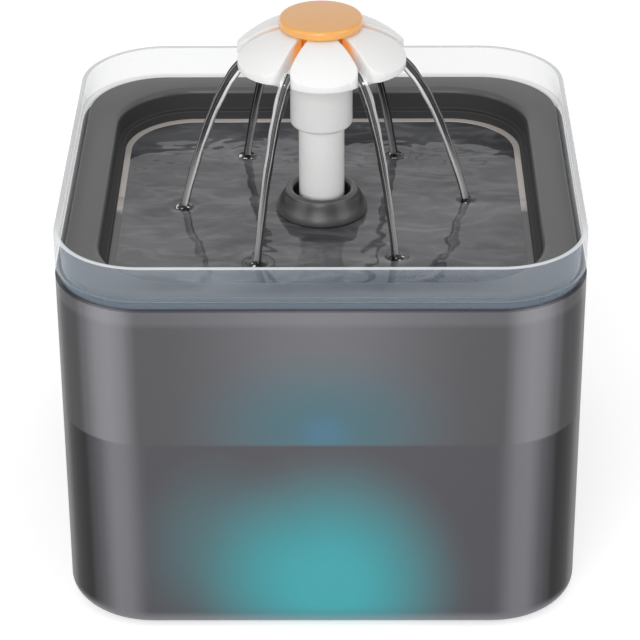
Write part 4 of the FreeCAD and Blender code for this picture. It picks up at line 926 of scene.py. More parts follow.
@dataclass(frozen=True)
class Pool(Clear):
    """The basin's water over the dark tray: nearly opaque, with painted pale reflection swirls, a painted dark eye at
    each landing and painted highlight sparks round it.

    Attributes:
        swirl: The tint of the painted pale reflection swirls.
        eye: The tint of the painted dark reflection where a stream lands.
        level: The water's height.
    """

    swirl: Colour = (0.205, 0.207, 0.218)
    eye: Colour = (0.004, 0.004, 0.005)
    level: float = 0.1167

    # The painted reflection swirls' noises, the part of each that shows and how strongly
    SWIRLS = (((22.0, 1.0, 1.0, (1.0, 1.6, 1.0)), (0.35, 0.7), 0.45),
              ((55.0, 3.0, 1.8, (0.8, 1.8, 1.0)), (0.45, 0.68), 0.4))
    # A painted dark eye's shift to the front in millimetres, its reach and full share, and how its rim is frayed
    EYE_SHIFT = 0.5
    EYE_REACH = (0.0052, 0.0044, 0.006)
    EYE_CORE = 0.3
    FRAY_CLOUD = (520.0, 1.0)
    FRAY = 0.5
    EYE_PART = (0.55, 0.8)
    # The painted highlight sparks' noise, the part of it that shows, how near an eye's middle, and their tint
    SPARK_CLOUD = (760.0, 0.0)
    SPARK_PART = (0.66, 0.72)
    SPARK_NEAR = (0.5, 0.7)
    SPARK_HIGHLIGHT = (0.9, 0.9, 0.9)

    def tint(self, nodes: Nodes, cloud: Socket) -> Socket:
        """Return the dark tint with its painted reflection swirls, dark eyes and highlight sparks."""
        swirls = nodes.plus(*(nodes.times(nodes.ramp(nodes.cloud(*kind), *part), share)
                              for kind, part, share in self.SWIRLS))
        # Painted pale reflection swirls
        colour = nodes.mix(swirls, self.colour, self.swirl)
        eyes = None
        for x, y in LANDINGS:
            spot = nodes.spread((x * MM, (y - self.EYE_SHIFT) * MM, self.level), self.EYE_REACH, self.EYE_CORE)
            eyes = nodes.math("MAXIMUM", eyes, spot) if eyes else spot
        fray = nodes.times(nodes.cloud(*self.FRAY_CLOUD), self.FRAY)
        # Painted dark reflection where each stream lands
        colour = nodes.mix(nodes.ramp(nodes.plus(eyes, fray), *self.EYE_PART), colour, self.eye)
        # Painted highlight sparks round each landing
        spark = nodes.times(nodes.ramp(nodes.cloud(*self.SPARK_CLOUD), *self.SPARK_PART),
                            nodes.ramp(eyes, *self.SPARK_NEAR))
        return nodes.mix(spark, colour, self.SPARK_HIGHLIGHT)


@dataclass(frozen=True)
class Falling(Clear):
    """Falling water: painted dark reflection edges, painted highlight lines beside them and a grey middle that shows
    what is behind.

    Attributes:
        mark: The attribute that says where a point lies across the stream, from 0 to 1.
        calm_z: Below this height the painted highlight lines die away.
        far: How bright the painted streaks of the streams at the back are beside the others.
    """

    mark: str = "across"
    calm_z: float = 0.135
    far: float = 0.55

    # The painted highlights and dark reflection edges across a stream, higher up and where it is calm
    FALL_HIGHLIGHTS = ((0.0, 0.05), (0.08, 0.08), (0.13, 0.7), (0.18, 0.12), (0.32, 0.08), (0.48, 0.16), (0.58, 0.05),
              (0.66, 1.0), (0.82, 1.0), (0.88, 0.1), (0.92, 0.5), (0.96, 0.06), (1.0, 0.06))
    CALM_HIGHLIGHTS = ((0.0, 0.06), (0.07, 0.05), (0.14, 0.4), (0.3, 0.45), (0.5, 0.55), (0.66, 0.75), (0.8, 0.9), (0.88, 0.3),
            (0.93, 0.05), (1.0, 0.06))
    # How far the lines sway, by a noise
    SWAY_CLOUD = (70.0, 0.0)
    SWAY = 0.12
    # How far below and above calm_z the painted highlight lines die away, and where the streams at the back begin
    CALM_BELOW = 0.012
    CALM_ABOVE = 0.014
    BACK = (0.012, 0.022)

    def tint(self, nodes: Nodes, cloud: Socket) -> Socket:
        """Return the painted highlight and dark reflection streaks that run down the stream."""
        place = nodes.add("ShaderNodeAttribute", attribute_name=self.mark).outputs["Fac"]
        sway = nodes.times(nodes.less(nodes.cloud(*self.SWAY_CLOUD), 0.5), self.SWAY)
        place = nodes.plus(place, sway, clamp=True)
        _, y, z = nodes.axes()
        calm = nodes.fall(z, self.calm_z - self.CALM_BELOW, self.calm_z + self.CALM_ABOVE)
        # Painted highlights and dark reflection edges across the stream
        level = nodes.between(calm, nodes.curve(place, self.FALL_HIGHLIGHTS), nodes.curve(place, self.CALM_HIGHLIGHTS))
        return nodes.scaled(self.colour, nodes.times(level, nodes.ramp(y, *self.BACK, 1.0, self.far)))


@dataclass(frozen=True)
class Meniscus(Moulded):
    """The water's edge on the wall, painted pale as a reflection of the bright surroundings; towards the front it
    turns dark.

    Attributes:
        dark: The tint of the front part.
        turn_y: Where the line turns dark, from back to front.
    """

    dark: Colour = (0.03, 0.03, 0.031)
    turn_y: float = 0.0

    # How ragged the change is, by a noise, and half its length
    RAGGED_CLOUD = (120.0, 2.0)
    RAGGED = 0.03
    TURN_BLUR = 0.006

    def build(self) -> bpy.types.Material:
        """Return the finished material."""
        material, nodes, shader = self.begin()
        ragged = nodes.times(nodes.less(nodes.cloud(*self.RAGGED_CLOUD), 0.5), self.RAGGED)
        back = nodes.ramp(nodes.plus(nodes.axes()[1], ragged), self.turn_y - self.TURN_BLUR,
                          self.turn_y + self.TURN_BLUR)
        # Painted pale reflection along the water's edge, darker towards the front
        self.surface(nodes, shader, nodes.mix(back, self.dark, self.colour))
        return material


@dataclass
class Palette:
    """Every finish of the fountain, built once and looked up by the record's slot."""

    built: dict[str, bpy.types.Material] = field(default_factory=dict)

    # Name, colour, roughness, shift, grain and relief, then coat, metallic and soft; the last two list a clear
    # finish's bending, roughness, ripple, grain and through
    FINISHES = {
        "smoke_plastic": SmokeTank(),
        "clear_plastic": Veil("clear_collar", (0.55, 0.68, 0.82), 0.12, 0.04, 60.0, 0.000002, 0.5),
        "tray_plastic": TrayPlastic("tray_plastic", (0.066, 0.066, 0.068), 0.32, 0.1, 900.0, 0.00001),
        "white_plastic": PetalPlastic("white_plastic", (0.86, 0.855, 0.85), 0.28, 0.02, 300.0, 0.00001, 0.2,
                                      soft=0.12),
        "orange_plastic": Moulded("orange_plastic", (0.8, 0.37, 0.068), 0.22, 0.04, 300.0, 0.00001, 0.6, 0.0, 0.08),
        "dark_plastic": Moulded("pump_plastic", (0.03, 0.03, 0.032), 0.42, 0.15, 900.0, 0.00003),
        "black_rubber": Moulded("black_rubber", (0.022, 0.022, 0.022), 0.6, 0.2, 700.0, 0.00004),
        "white_rubber": Moulded("white_rubber", (0.78, 0.78, 0.76), 0.5, 0.05, 500.0, 0.00002),
        "lamination_steel": Moulded("lamination_steel", (0.35, 0.34, 0.33), 0.38, 0.2, 1500.0, 0.00004, 0.0, 1.0),
        "copper_wire": Moulded("copper_wire", (0.72, 0.3, 0.12), 0.3, 0.3, 1600.0, 0.00008, 0.3, 1.0),
        "potting_resin": Moulded("potting_resin", (0.015, 0.015, 0.015), 0.2, 0.3, 80.0, 0.00005),
        "board_laminate": Moulded("board_laminate", (0.05, 0.22, 0.1), 0.4, 0.15, 1200.0, 0.00002),
        "lamp_chip": Moulded("lamp_chip", (0.2, 0.75, 0.8), 0.3, 0.05, 300.0, 0.00001),
        "shaft_ceramic": Moulded("shaft_ceramic", (0.85, 0.84, 0.8), 0.15, 0.03, 900.0, 0.00001),
        "magnet_ferrite": Moulded("magnet_ferrite", (0.06, 0.06, 0.065), 0.5, 0.2, 1500.0, 0.00004),
        "sponge_foam": Moulded("sponge_foam", (0.04, 0.04, 0.045), 0.9, 0.5, 900.0, 0.0004),
        "cotton_felt": Moulded("cotton_felt", (0.86, 0.86, 0.84), 0.95, 0.1, 1400.0, 0.0003),
        "carbon_grain": Moulded("carbon_grain", (0.02, 0.02, 0.02), 0.7, 0.6, 1000.0, 0.0006),
        "resin_bead": Moulded("resin_bead", (0.7, 0.45, 0.15), 0.3, 0.4, 1300.0, 0.0005),
        "water_edge": Meniscus("water_edge", (0.5, 0.46, 0.43), 0.3, 0.3, 200.0, 0.00005, 0.3),
        "water": Pool("water", (0.065, 0.066, 0.073), 1.4, 0.02, 0.0, 40.0, 0.1),
        "falling_water": Falling("falling_water", (1.0, 1.0, 1.0), 1.333, 0.0, 0.00002, 160.0, 0.62),
    }

    def get(self, slot: str) -> bpy.types.Material:
        """Return a slot's material, building it the first time."""
        if slot not in self.built:
            self.built[slot] = self.FINISHES[slot].build()
        return self.built[slot]

    def dress(self, piece: Piece, slot: str) -> None:
        """Give a whole piece one finish."""
        piece.data.materials.clear()
        piece.data.materials.append(self.get(slot))


@dataclass
class Maker:
    """What every maker of pieces shares: the palette and the way a piece joins the frame."""

    palette: Palette

    def place(self, piece: Piece, slot: str, body: Body, *nodes: str) -> Piece:
        """Dress a piece, let it ride on a body and hide the solids that it stands for.

        Args:
            piece: The finished piece.
            slot: The finish's slot.
            body: The body that carries it.
            nodes: The solids that it replaces.

        Returns:
            The same piece.
        """
        self.palette.dress(piece, slot)
        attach(piece, body.value)
        if nodes:
            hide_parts(*nodes)
        LOG.info("piece %s, %d faces, on %s", piece.name, len(piece.data.polygons), body.value)
        return piece


@dataclass
class Collar(Maker):
    """The clear splash collar: upper wall, set-back band and skirt. Sizes in millimetres."""

    core: float = 57.5
    outer: float = 87.4
    inner: float = 85.4
    top: float = 139.8
    overhang: float = 127.2
    band: float = 86.3
    tank_rim: float = 123.9
    seat: float = 126.5
    skirt_outer: float = 84.8
    skirt_inner: float = 83.0
    skirt_under: float = 114.0
    rim_round: float = 0.95
    edge_round: float = 0.35
    notch_half: float = 6.0
    notch_depth: float = 6.0
    notch_past: float = 2.0

    def build(self) -> None:
        """Model the collar as one closed ring and cut the cable's notch in its skirt."""
        corners = [(self.outer, self.overhang), (self.outer, self.top), (self.inner, self.top),
                   (self.inner, self.seat), (self.skirt_inner, self.seat), (self.skirt_inner, self.skirt_under),
                   (self.skirt_outer, self.skirt_under), (self.skirt_outer, self.tank_rim),
                   (self.band, self.tank_rim), (self.band, self.overhang)]
        radii = {index: self.edge_round for index in (0, 4, 5, 6, 8)} | {1: self.rim_round, 2: self.rim_round}
        rings = [Ring(half, self.core, z) for half, z in rounded(corners, radii, 4)]
        piece = Bench.square_stack("clear_collar", rings)
        height = self.tank_rim - self.skirt_under + self.notch_past
        Bench.subtract(piece, Bench.block((2 * self.notch_half, self.notch_depth, height),
                                          (0, self.skirt_outer, self.tank_rim - height / 2)))
        Bench.finish(piece, "clear_collar")
        self.place(piece, "clear_plastic", Body.COLLAR, "splash_collar")


@dataclass
class Tray(Maker):
    """The drinking tray: ledge, stepped basin, flared boss, drain slots and the filter's ring."""

    ledge_core: float = 57.5
    basin_core: float = 46.3
    ledge_half: float = 84.9
    ledge_top: float = 128.1
    ledge_under: float = 126.5
    basin_half: float = 73.8
    shelf: float = 120.2
    lower_half: float = 71.5
    floor: float = 108.0
    wall: float = 2.0
    lip_round: float = 2.0
    shelf_round: float = 0.5
    floor_round: float = 4.0
    boss_base: float = 25.9
    boss_radius: float = 12.5
    boss_top: float = 125.2
    boss_flare: float = 25.0
    boss_bore: float = 9.8
    lip_radius: float = 12.7
    lip_height: float = 1.4
    seal_seat: float = 111.8
    riser_hole: float = 6.5
    slot_start: float = 29.0
    slot_end: float = 43.0
    slot_width: float = 2.4
    slot_count: int = 12
    ring_outer: float = 52.2
    ring_inner: float = 50.4
    ring_under: float = 98.0
    ring_root: float = 0.3
    outer_rounds: Point = (0.4, 0.6)
    under_round: float = 0.6
    ring_round: float = 0.5

    # The boss's swelling at the water, and the height where it takes over from the flare
    SWELLING = ((15.45, 115.6), (15.75, 116.6), (15.8, 117.5), (15.6, 118.5), (15.2, 119.5), (14.65, 120.6),
                (14.05, 121.7), (13.45, 122.7), (12.95, 123.4))
    SWELLING_START = 115.3
    # Outside the slots the floor's levels are square as far in as this and round from the next; then the flat rings
    # round the boss and the filter's ring, how far the flare's arc stops below the boss's top, and the core of a round
    # level
    SQUARE_END = 12.0
    ROUND_START = 4.0
    BOSS_FLAT = 1.0
    RING_FLAT = 6.0
    FLARE_DROP = 1.0
    ROUND = 0.01

    def flare(self, steps: int = 10) -> list[Point]:
        """Return the boss's flare, from its base up to its lip, as a hollow arc with the swelling on it."""
        start, end = Vector((self.boss_base, self.floor)), Vector((self.boss_radius, self.boss_top - self.FLARE_DROP))
        centre = centre_on_right(start, end, self.boss_flare)
        points = arc(centre, start - centre, end - centre, steps)[1:]
        return [(radius, z) for radius, z in points if z < self.SWELLING_START] + self.bulge()

    def bulge(self, steps: int = 10) -> list[Point]:
        """Return the boss's upper part: the swelling at the water, the slope above it and the round lip.

        Args:
            steps: How many chords the lip has.
        """
        lip = (self.lip_radius - self.boss_bore) / 2
        middle, height = self.boss_bore + lip, self.boss_top - self.lip_height
        round_lip = [(middle + lip * math.cos(math.pi * step / steps),
                      height + self.lip_height * math.sin(math.pi * step / steps)) for step in range(steps)]
        return [*self.SWELLING, *round_lip]

    def rings(self) -> list[Ring]:
        """Return the tray's closed section, from the ledge over the basin and the boss to the underside."""
        under, shelf_under = self.floor - self.wall, self.shelf - self.wall
        square_end = self.slot_end + self.SQUARE_END
        pan = [(self.ledge_half, self.ledge_under), (self.ledge_half, self.ledge_top),
               (self.basin_half, self.ledge_top), (self.basin_half, self.shelf), (self.lower_half, self.shelf),
               (self.lower_half, self.floor), (square_end, self.floor)]
        radii = dict(enumerate((*self.outer_rounds, self.lip_round, self.shelf_round, self.shelf_round,
                                self.floor_round)))
        rings = [Ring(half, self.ledge_core if corner < 2 else self.basin_core, z)
                 for corner, half, z in soften(pan, radii, 6)[:-1]]
        boss = [(self.slot_end + self.ROUND_START, self.floor), (self.boss_base + self.BOSS_FLAT, self.floor),
                (self.boss_base, self.floor), *self.flare(), (self.boss_bore, self.boss_top - self.lip_height),
                (self.boss_bore, self.seal_seat), (self.riser_hole, self.seal_seat), (self.riser_hole, under),
                (self.ring_outer + self.RING_FLAT, under)]
        rings += [Ring(radius, self.ROUND, z) for radius, z in boss]
        shell = [(square_end, under), (self.lower_half + self.wall, under),
                 (self.lower_half + self.wall, shelf_under), (self.basin_half + self.wall, shelf_under),
                 (self.basin_half + self.wall, self.ledge_under)]
        radii = {1: self.floor_round, 2: self.under_round, 3: self.under_round}
        rings += [Ring(half, self.basin_core, z) for half, z in rounded(shell, radii, 4)[1:]]
        return rings

    def build(self) -> None:
        """Model the tray, cut its drain slots and add the filter's ring."""
        piece = Bench.square_stack("basin_tray", self.rings())
        cutters = []
        length = self.slot_end - self.slot_start
        for index in range(self.slot_count):
            cutter = Bench.block((length, self.slot_width, 3 * self.wall),
                                 (self.slot_start + length / 2, 0, self.floor - self.wall / 2))
            turn = Matrix.Rotation(math.tau * index / self.slot_count, 4, "Z")
            cutter.matrix_world = turn @ Matrix.Translation(cutter.location) @ Matrix.Diagonal((*cutter.scale, 1))
            cutters.append(cutter)
        Bench.subtract(piece, Bench.join(cutters))
        root = self.floor - self.wall + self.ring_root
        ring = [(self.ring_inner, root), (self.ring_outer, root), (self.ring_outer, self.ring_under),
                (self.ring_inner, self.ring_under)]
        collar = Bench.lathe("filter_ring", rounded(ring, {2: self.ring_round, 3: self.ring_round}, 3))
        piece = Bench.join([piece, collar])
        Bench.finish(piece, "basin_tray")
        self.place(piece, "tray_plastic", Body.TRAY, "drinking_tray")


@dataclass
class Flower(Maker):
    """The white crown on its sleeve, the stem tube and the orange cap."""

    petals: int = 6
    turn: float = 32.6
    petal_under: float = 174.1
    petal_tip_top: float = 176.2
    cap_seat: float = 185.9
    crown_radius: float = 30.0
    crown_arc: float = 32.0
    seat_radius: float = 11.5
    tip_arc: float = 18.0
    gap: float = 3.4
    corner: float = 4.0
    root: float = 10.0
    petal_edge: float = 0.7
    dish_radius: float = 26.0
    dish_drop: float = 1.4
    dish_top: float = 180.9
    hole: float = 9.6
    sleeve_radius: float = 10.65
    sleeve_under: float = 149.6
    sleeve_bore: float = 6.5
    sleeve_round: float = 1.3
    stem_radius: float = 7.85
    stem_bore: float = 4.8
    stem_wide_bore: float = 6.05
    stem_under: float = 113.0
    stem_step: float = 123.0
    stem_top: float = 159.6
    cap_radius: float = 14.2
    cap_top: float = 189.1
    cap_bevel: float = 1.2
    plug_radius: float = 9.3
    plug_end_radius: float = 8.6
    plug_under: float = 176.4
    plug_wall: float = 1.6
    fit: float = 0.1
    neck_drop: float = 1.0
    dish_rise: float = 0.3
    hub: float = 0.3
    plug_step: float = 0.3
    bore_start: float = 1.0
    bore_end: float = 3.0

    # Corner numbers and their roundings
    DISH_ROUNDS = {2: 2.0, 3: 0.4, 4: 0.5, 5: 0.3}
    STEM_ROUNDS = {1: 0.5, 2: 0.3, 3: 0.3}
    CAP_ROUNDS = {1: 0.4, 3: 0.5}
    # The petals' grid and the bevel on their edges
    ALONG = 12
    BEVEL_SEGMENTS = 4
    BEVEL_ANGLE = 50
    CROWN_ANGLE = 40

    def dome(self, radius: float) -> float:
        """Return the height of the petals' upper face at a distance from the axis."""
        if radius <= self.seat_radius:
            return self.cap_seat
        seat, tip = Vector((self.seat_radius, self.cap_seat)), Vector((self.crown_radius, self.petal_tip_top))
        centre = centre_on_right(seat, tip, self.crown_arc)
        return centre.y + math.sqrt(max(self.crown_arc ** 2 - (radius - centre.x) ** 2, 0.0))

    def underside(self, radius: float) -> float:
        """Return the height of the petals' lower face at a distance from the axis."""
        if radius >= self.dish_radius:
            return self.petal_under
        share = (self.dish_radius - radius) / (self.dish_radius - self.hole)
        low = self.petal_under - self.dish_drop + self.dish_rise
        return low + share * (self.dish_top - self.dish_drop - low)

    def tip(self, steps: int = 20) -> list[Point]:
        """Return a petal's tip in plan along X, from one straight side to the other, at even distances.

        Args:
            steps: How many chords the tip has.
        """
        half_turn = math.pi / self.petals
        slope = math.tan(half_turn)
        centre = self.crown_radius - self.tip_arc
        shift = (self.gap / 2 + self.corner) / math.cos(half_turn)
        inner = self.tip_arc - self.corner
        a, b, c = 1 + slope ** 2, -2 * (centre + shift * slope), centre ** 2 + shift ** 2 - inner ** 2
        x = (-b + math.sqrt(b * b - 4 * a * c)) / (2 * a)
        y = x * slope - shift
        last = math.atan2(y, x - centre)
        turn = math.pi / 2 + half_turn - last
        bend, crown = self.corner * turn, self.tip_arc * last
        points = []
        for step in range(steps + 1):
            along = (bend + crown) * (1 - 2 * step / steps)
            if abs(along) <= crown:
                angle = along / self.tip_arc
                points.append((centre + self.tip_arc * math.cos(angle), self.tip_arc * math.sin(angle)))
            else:
                angle = last + (abs(along) - crown) / self.corner
                up = y + self.corner * math.sin(angle)
                points.append((x + self.corner * math.cos(angle), math.copysign(up, along)))
        return points

    def petal(self) -> Piece:
        """Model one petal: a grid is drawn out to its plan, domed, thickened and rounded."""
        tip = self.tip()
        root_half = self.root * math.tan(math.pi / self.petals) - self.gap / 2 / math.cos(math.pi / self.petals)
        across = len(tip) - 1
        Bench.clear()
        bpy.ops.mesh.primitive_grid_add(x_subdivisions=self.ALONG, y_subdivisions=across, size=2, location=(0, 0, 0))
        piece = bpy.context.object
        Bench.edit()
        Bench.raise_edge(1 / MM)
        mesh = bmesh.from_edit_mesh(piece.data)
        for vert in mesh.verts:
            share, side = (vert.co.x + 1) / 2, (1 - vert.co.y) / 2
            root = Vector((self.root, root_half * (1 - 2 * side)))
            place = root.lerp(Vector(tip[round(side * across)]), share)
            height = self.dome(place.length) if vert.co.z > 0.5 else self.underside(place.length)
            vert.co = Vector((place.x, place.y, height)) * MM
        bmesh.update_edit_mesh(piece.data)
        bpy.ops.mesh.select_all(action="SELECT")
        bpy.ops.mesh.normals_make_consistent(inside=False)
        bpy.ops.object.mode_set(mode="OBJECT")
        rounding = piece.modifiers.new("rounding", "BEVEL")
        rounding.width = self.petal_edge * MM
        rounding.segments = self.BEVEL_SEGMENTS
        rounding.limit_method = "ANGLE"
        rounding.angle_limit = math.radians(self.BEVEL_ANGLE)
        Bench.apply(piece, rounding)
        return piece

    def crown(self) -> None:
        """Model the petals, the channel dish under them and the sleeve, as one piece."""
        first = self.petal()
        parts = [first] + [Bench.copy(first) for _ in range(self.petals - 1)]
        for index, part in enumerate(parts):
            angle = math.radians(self.turn) + math.tau * index / self.petals
            part.matrix_world = Matrix.Rotation(angle, 4, "Z")
        low = self.petal_under - self.dish_drop
        neck = self.dish_top - 2 * self.dish_drop - self.neck_drop
        bore = self.stem_radius + self.fit
        corners = [(bore, self.sleeve_under), (self.sleeve_radius, self.sleeve_under), (self.sleeve_radius, neck),
                   (self.dish_radius, low), (self.dish_radius, self.petal_under), (self.hole, self.dish_top),
                   (self.hole, self.plug_under - self.bore_start),
                   (self.sleeve_bore, self.plug_under - self.bore_end), (self.sleeve_bore, self.stem_top),
                   (bore, self.stem_top)]
        section = rounded(corners, {1: self.sleeve_round, **self.DISH_ROUNDS}, 5)
        piece = Bench.join([Bench.lathe("dish", section), *parts])
        Bench.finish(piece, "petal_crown", self.CROWN_ANGLE)
        self.place(piece, "white_plastic", Body.FLOWER, "flower_crown")

    def stem(self) -> None:
        """Model the stem tube."""
        corners = [(self.stem_wide_bore, self.stem_under), (self.stem_radius, self.stem_under),
                   (self.stem_radius, self.stem_top), (self.stem_bore, self.stem_top),
                   (self.stem_bore, self.stem_step), (self.stem_wide_bore, self.stem_step)]
        piece = Bench.lathe("stem", rounded(corners, self.STEM_ROUNDS, 4))
        self.place(piece, "white_plastic", Body.FLOWER, "stem_tube")

    def cap(self) -> None:
        """Model the orange cap and its hollow plug."""
        corners = [(self.plug_end_radius - self.plug_wall, self.plug_under), (self.plug_end_radius, self.plug_under),
                   (self.plug_radius, self.cap_seat), (self.cap_radius, self.cap_seat),
                   (self.cap_radius, self.cap_top), (self.hub, self.cap_top)]
        outside = rounded(corners, {**self.CAP_ROUNDS, 4: self.cap_bevel}, 7)
        inside = [(self.hub, self.cap_seat), (self.plug_radius - self.plug_wall - self.plug_step, self.cap_seat)]
        section = inside + [(radius, z) for radius, z in outside if radius >= self.hub]
        piece = Bench.lathe("orange_cap", section, closed=False)
        self.place(piece, "orange_plastic", Body.CAP, "flower_cap")

    def build(self) -> None:
        """Model the flower's pieces."""
        self.crown()
        self.stem()
        self.cap()


@dataclass(frozen=True)
class Jet:
    """One falling stream.

    Attributes:
        name: Its piece's name.
        azimuth: The direction of the gap that it leaves, in degrees.
        landing: Where it meets the water, in plan.
        width: How much its half width at the flower is more than at its foot.
        lobes: How deep the groove between its two lobes is, from 0 to 1.
        tilt: How far its wide side is turned from level, in degrees.
        twist: How far it turns on its way down, in degrees.
    """

    name: str
    azimuth: float
    landing: Point
    width: float = 1.0
    lobes: float = 0.5
    tilt: float = 0.0
    twist: float = 20.0


@dataclass
class Water(Maker):
    """The water in the basin, its rim on the wall and the six falling streams."""

    level: float = 116.7
    under: float = 107.8
    core: float = 46.3
    half: float = 72.7
    calm_edge: float = 71.5
    cells: int = 150
    jet_start: float = 22.0
    jet_height: float = 175.9
    jet_slope: float = 0.42
    jet_steps: int = 24
    jet_sides: int = 28
    jet_foot: float = 1.42
    jet_flatness: float = 0.72
    groove_width: float = 0.42
    jet_dip: float = 0.6
    smooth_angle: float = 60.0

    JETS = (Jet("stream_left", 182.6, LANDINGS[0], 0.8, 0.2, 80.0, 20.0),
            Jet("stream_front_left", 242.6, LANDINGS[1], 1.2, 0.6, 0.0, 14.0),
            Jet("stream_front_right", 302.6, LANDINGS[2], 1.2, 0.6, 180.0, -14.0),
            Jet("stream_right", 2.6, LANDINGS[3], 0.8, 0.2, 100.0, -20.0),
            Jet("stream_back_left", 122.6, LANDINGS[4], 0.3, 0.3, 0.0, 20.0),
            Jet("stream_back_right", 62.6, LANDINGS[5], 0.3, 0.3, 180.0, -20.0))
    # The rings round a landing: spacing, its growth, start, height and how far they reach
    RING_SPACING = 5.2
    RING_GROWTH = 0.5
    RING_START = 0.8
    RING_HEIGHT = 0.11
    RING_REACH = 11.0
    # The mound under a stream and the trough round it: height or depth, distance and width
    MOUND = (0.5, 0.0, 1.7)
    TROUGH = (-0.25, 3.2, 1.1)
    # The broad and the fine swell: height, and the noise's size across and along and its seed
    SWELLS = ((0.28, 17, 9, 0.3), (0.07, 6, 3.4, 4.1))
    # How far a point may stand past the wall's outline before it is cut away
    EDGE_SLACK = 0.001
    # A stream's steps crowd towards its start, its width tapers, and both its sides wobble: powers, share and pace
    STEP_POWER = 0.8
    TAPER_POWER = 1.5
    WOBBLE = 0.07
    WOBBLE_PACE = 9
    # How far from the wall the water grows calm
    CALM_REACH = 5
    # The edge line's section: half width and height above the water's level
    EDGE_LINE = ((71.7, -0.2), (71.7, 0.4), (70.9, 0.3), (69.4, 0.2), (69.3, -0.2))

    def wave(self, x: float, y: float) -> float:
        """Return the water's height above its level at a place."""
        height = 0.0
        for index, jet in enumerate(self.JETS):
            distance = math.hypot(x - jet.landing[0], y - jet.landing[1])
            spacing = self.RING_SPACING + self.RING_GROWTH * index % 2
            ring = math.cos(math.tau * distance / spacing - self.RING_START)
            height += self.RING_HEIGHT * ring * math.exp(-distance / self.RING_REACH)
            height += sum(rise * math.exp(-((distance - away) / wide) ** 2)
                          for rise, away, wide in (self.MOUND, self.TROUGH))
        height += sum(rise * noise.noise(Vector((x / across, y / along, seed)))
                      for rise, across, along, seed in self.SWELLS)
        wall = Ring(self.half, self.core, self.level).reach(x, y)
        return height * min(1.0, max(0.0, (self.calm_edge - wall) / self.CALM_REACH))

    def basin(self) -> None:
        """Model the basin's water as a closed body with a rippled top that ends inside the tray's wall."""
        Bench.clear()
        bpy.ops.mesh.primitive_grid_add(x_subdivisions=self.cells, y_subdivisions=self.cells,
                                        size=2 * self.half * MM, location=(0, 0, 0))
        piece = bpy.context.object
        Bench.edit()
        bpy.ops.mesh.select_all(action="DESELECT")
        edge = Ring(self.half, self.core, self.level)
        mesh = bmesh.from_edit_mesh(piece.data)
        for vert in mesh.verts:
            vert.select_set(edge.reach(vert.co.x / MM, vert.co.y / MM) > self.half + self.EDGE_SLACK)
        bmesh.update_edit_mesh(piece.data)
        bpy.ops.mesh.delete(type="VERT")
        bpy.ops.mesh.select_all(action="SELECT")
        bpy.ops.transform.translate(value=(0, 0, self.under * MM))
        Bench.raise_edge(self.level - self.under)
        mesh = bmesh.from_edit_mesh(piece.data)
        for vert in mesh.verts:
            if vert.select:
                vert.co.z += self.wave(vert.co.x / MM, vert.co.y / MM) * MM
        bmesh.update_edit_mesh(piece.data)
        bpy.ops.object.mode_set(mode="OBJECT")
        Bench.finish(piece, "basin_water", self.smooth_angle)
        self.place(piece, "water", Body.TRAY)

    def waterline(self) -> None:
        """Model the rim that the water forms where it climbs the wall, which is painted with a pale reflection."""
        rings = [Ring(half, self.core, self.level + rise) for half, rise in self.EDGE_LINE]
        self.place(Bench.square_stack("waterline", rings), "water_edge", Body.TRAY)

    def profile(self, jet: Jet) -> Piece:
        """Return the closed outline of a stream at its start: an oval with a groove in its middle."""
        curve = bpy.data.curves.new(f"{jet.name}_profile", "CURVE")
        curve.dimensions = "2D"
        spline = curve.splines.new("POLY")
        spline.points.add(self.jet_sides - 1)
        for index, point in enumerate(spline.points):
            angle = math.tau * index / self.jet_sides
            waist = 1 - jet.lobes * math.exp(-(math.cos(angle) / self.groove_width) ** 2)
            point.co = (math.cos(angle) * MM, self.jet_flatness * waist * math.sin(angle) * MM, 0, 1)
        spline.use_cyclic_u = True
        outline = bpy.data.objects.new(f"{jet.name}_profile", curve)
        bpy.context.collection.objects.link(outline)
        return outline

    def stream(self, jet: Jet) -> None:
        """Sweep one stream along its fall from the gap between two petals to the water."""
        angle = math.radians(jet.azimuth)
        start = Vector((self.jet_start * math.cos(angle), self.jet_start * math.sin(angle)))
        run = Vector(jet.landing) - start
        length, drop = run.length, self.jet_height - self.level
        bend = (drop - self.jet_slope * length) / length ** 2
        curve = bpy.data.curves.new(jet.name, "CURVE")
        curve.dimensions = "3D"
        curve.twist_mode = "Z_UP"
        spline = curve.splines.new("POLY")
        spline.points.add(self.jet_steps)
        for index, point in enumerate(spline.points):
            share = (index / self.jet_steps) ** self.STEP_POWER
            along = share * length
            place = start + run * share
            z = self.jet_height - self.jet_slope * along - bend * along ** 2
            point.co = (place.x * MM, place.y * MM, (z - (self.jet_dip if share == 1 else 0)) * MM, 1)
            wobble = 1 + self.WOBBLE * math.sin(self.WOBBLE_PACE * share + index)
            point.radius = (jet.width * (1 - share) ** self.TAPER_POWER + self.jet_foot) * wobble
            point.tilt = math.radians(jet.tilt + jet.twist * share)
        outline = self.profile(jet)
        curve.bevel_mode = "OBJECT"
        curve.bevel_object = outline
        curve.use_fill_caps = True
        piece = bpy.data.objects.new(jet.name, curve)
        bpy.context.collection.objects.link(piece)
        Bench.take(piece)
        bpy.ops.object.convert(target="MESH")
        piece = bpy.context.object
        bpy.data.objects.remove(outline)
        across = piece.data.attributes.new("across", "FLOAT", "POINT")
        for index, mark in enumerate(across.data):
            mark.value = 0.5 + 0.5 * math.cos(math.tau * (index % self.jet_sides) / self.jet_sides)
        smoothing = piece.modifiers.new("smoothing", "SUBSURF")
        smoothing.levels = smoothing.render_levels = 1
        Bench.apply(piece, smoothing)
        Bench.finish(piece, jet.name, self.smooth_angle)
        self.palette.dress(piece, "falling_water")
        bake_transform(piece)
        LOG.info("piece %s, %d faces, from flower to tray", piece.name, len(piece.data.polygons))

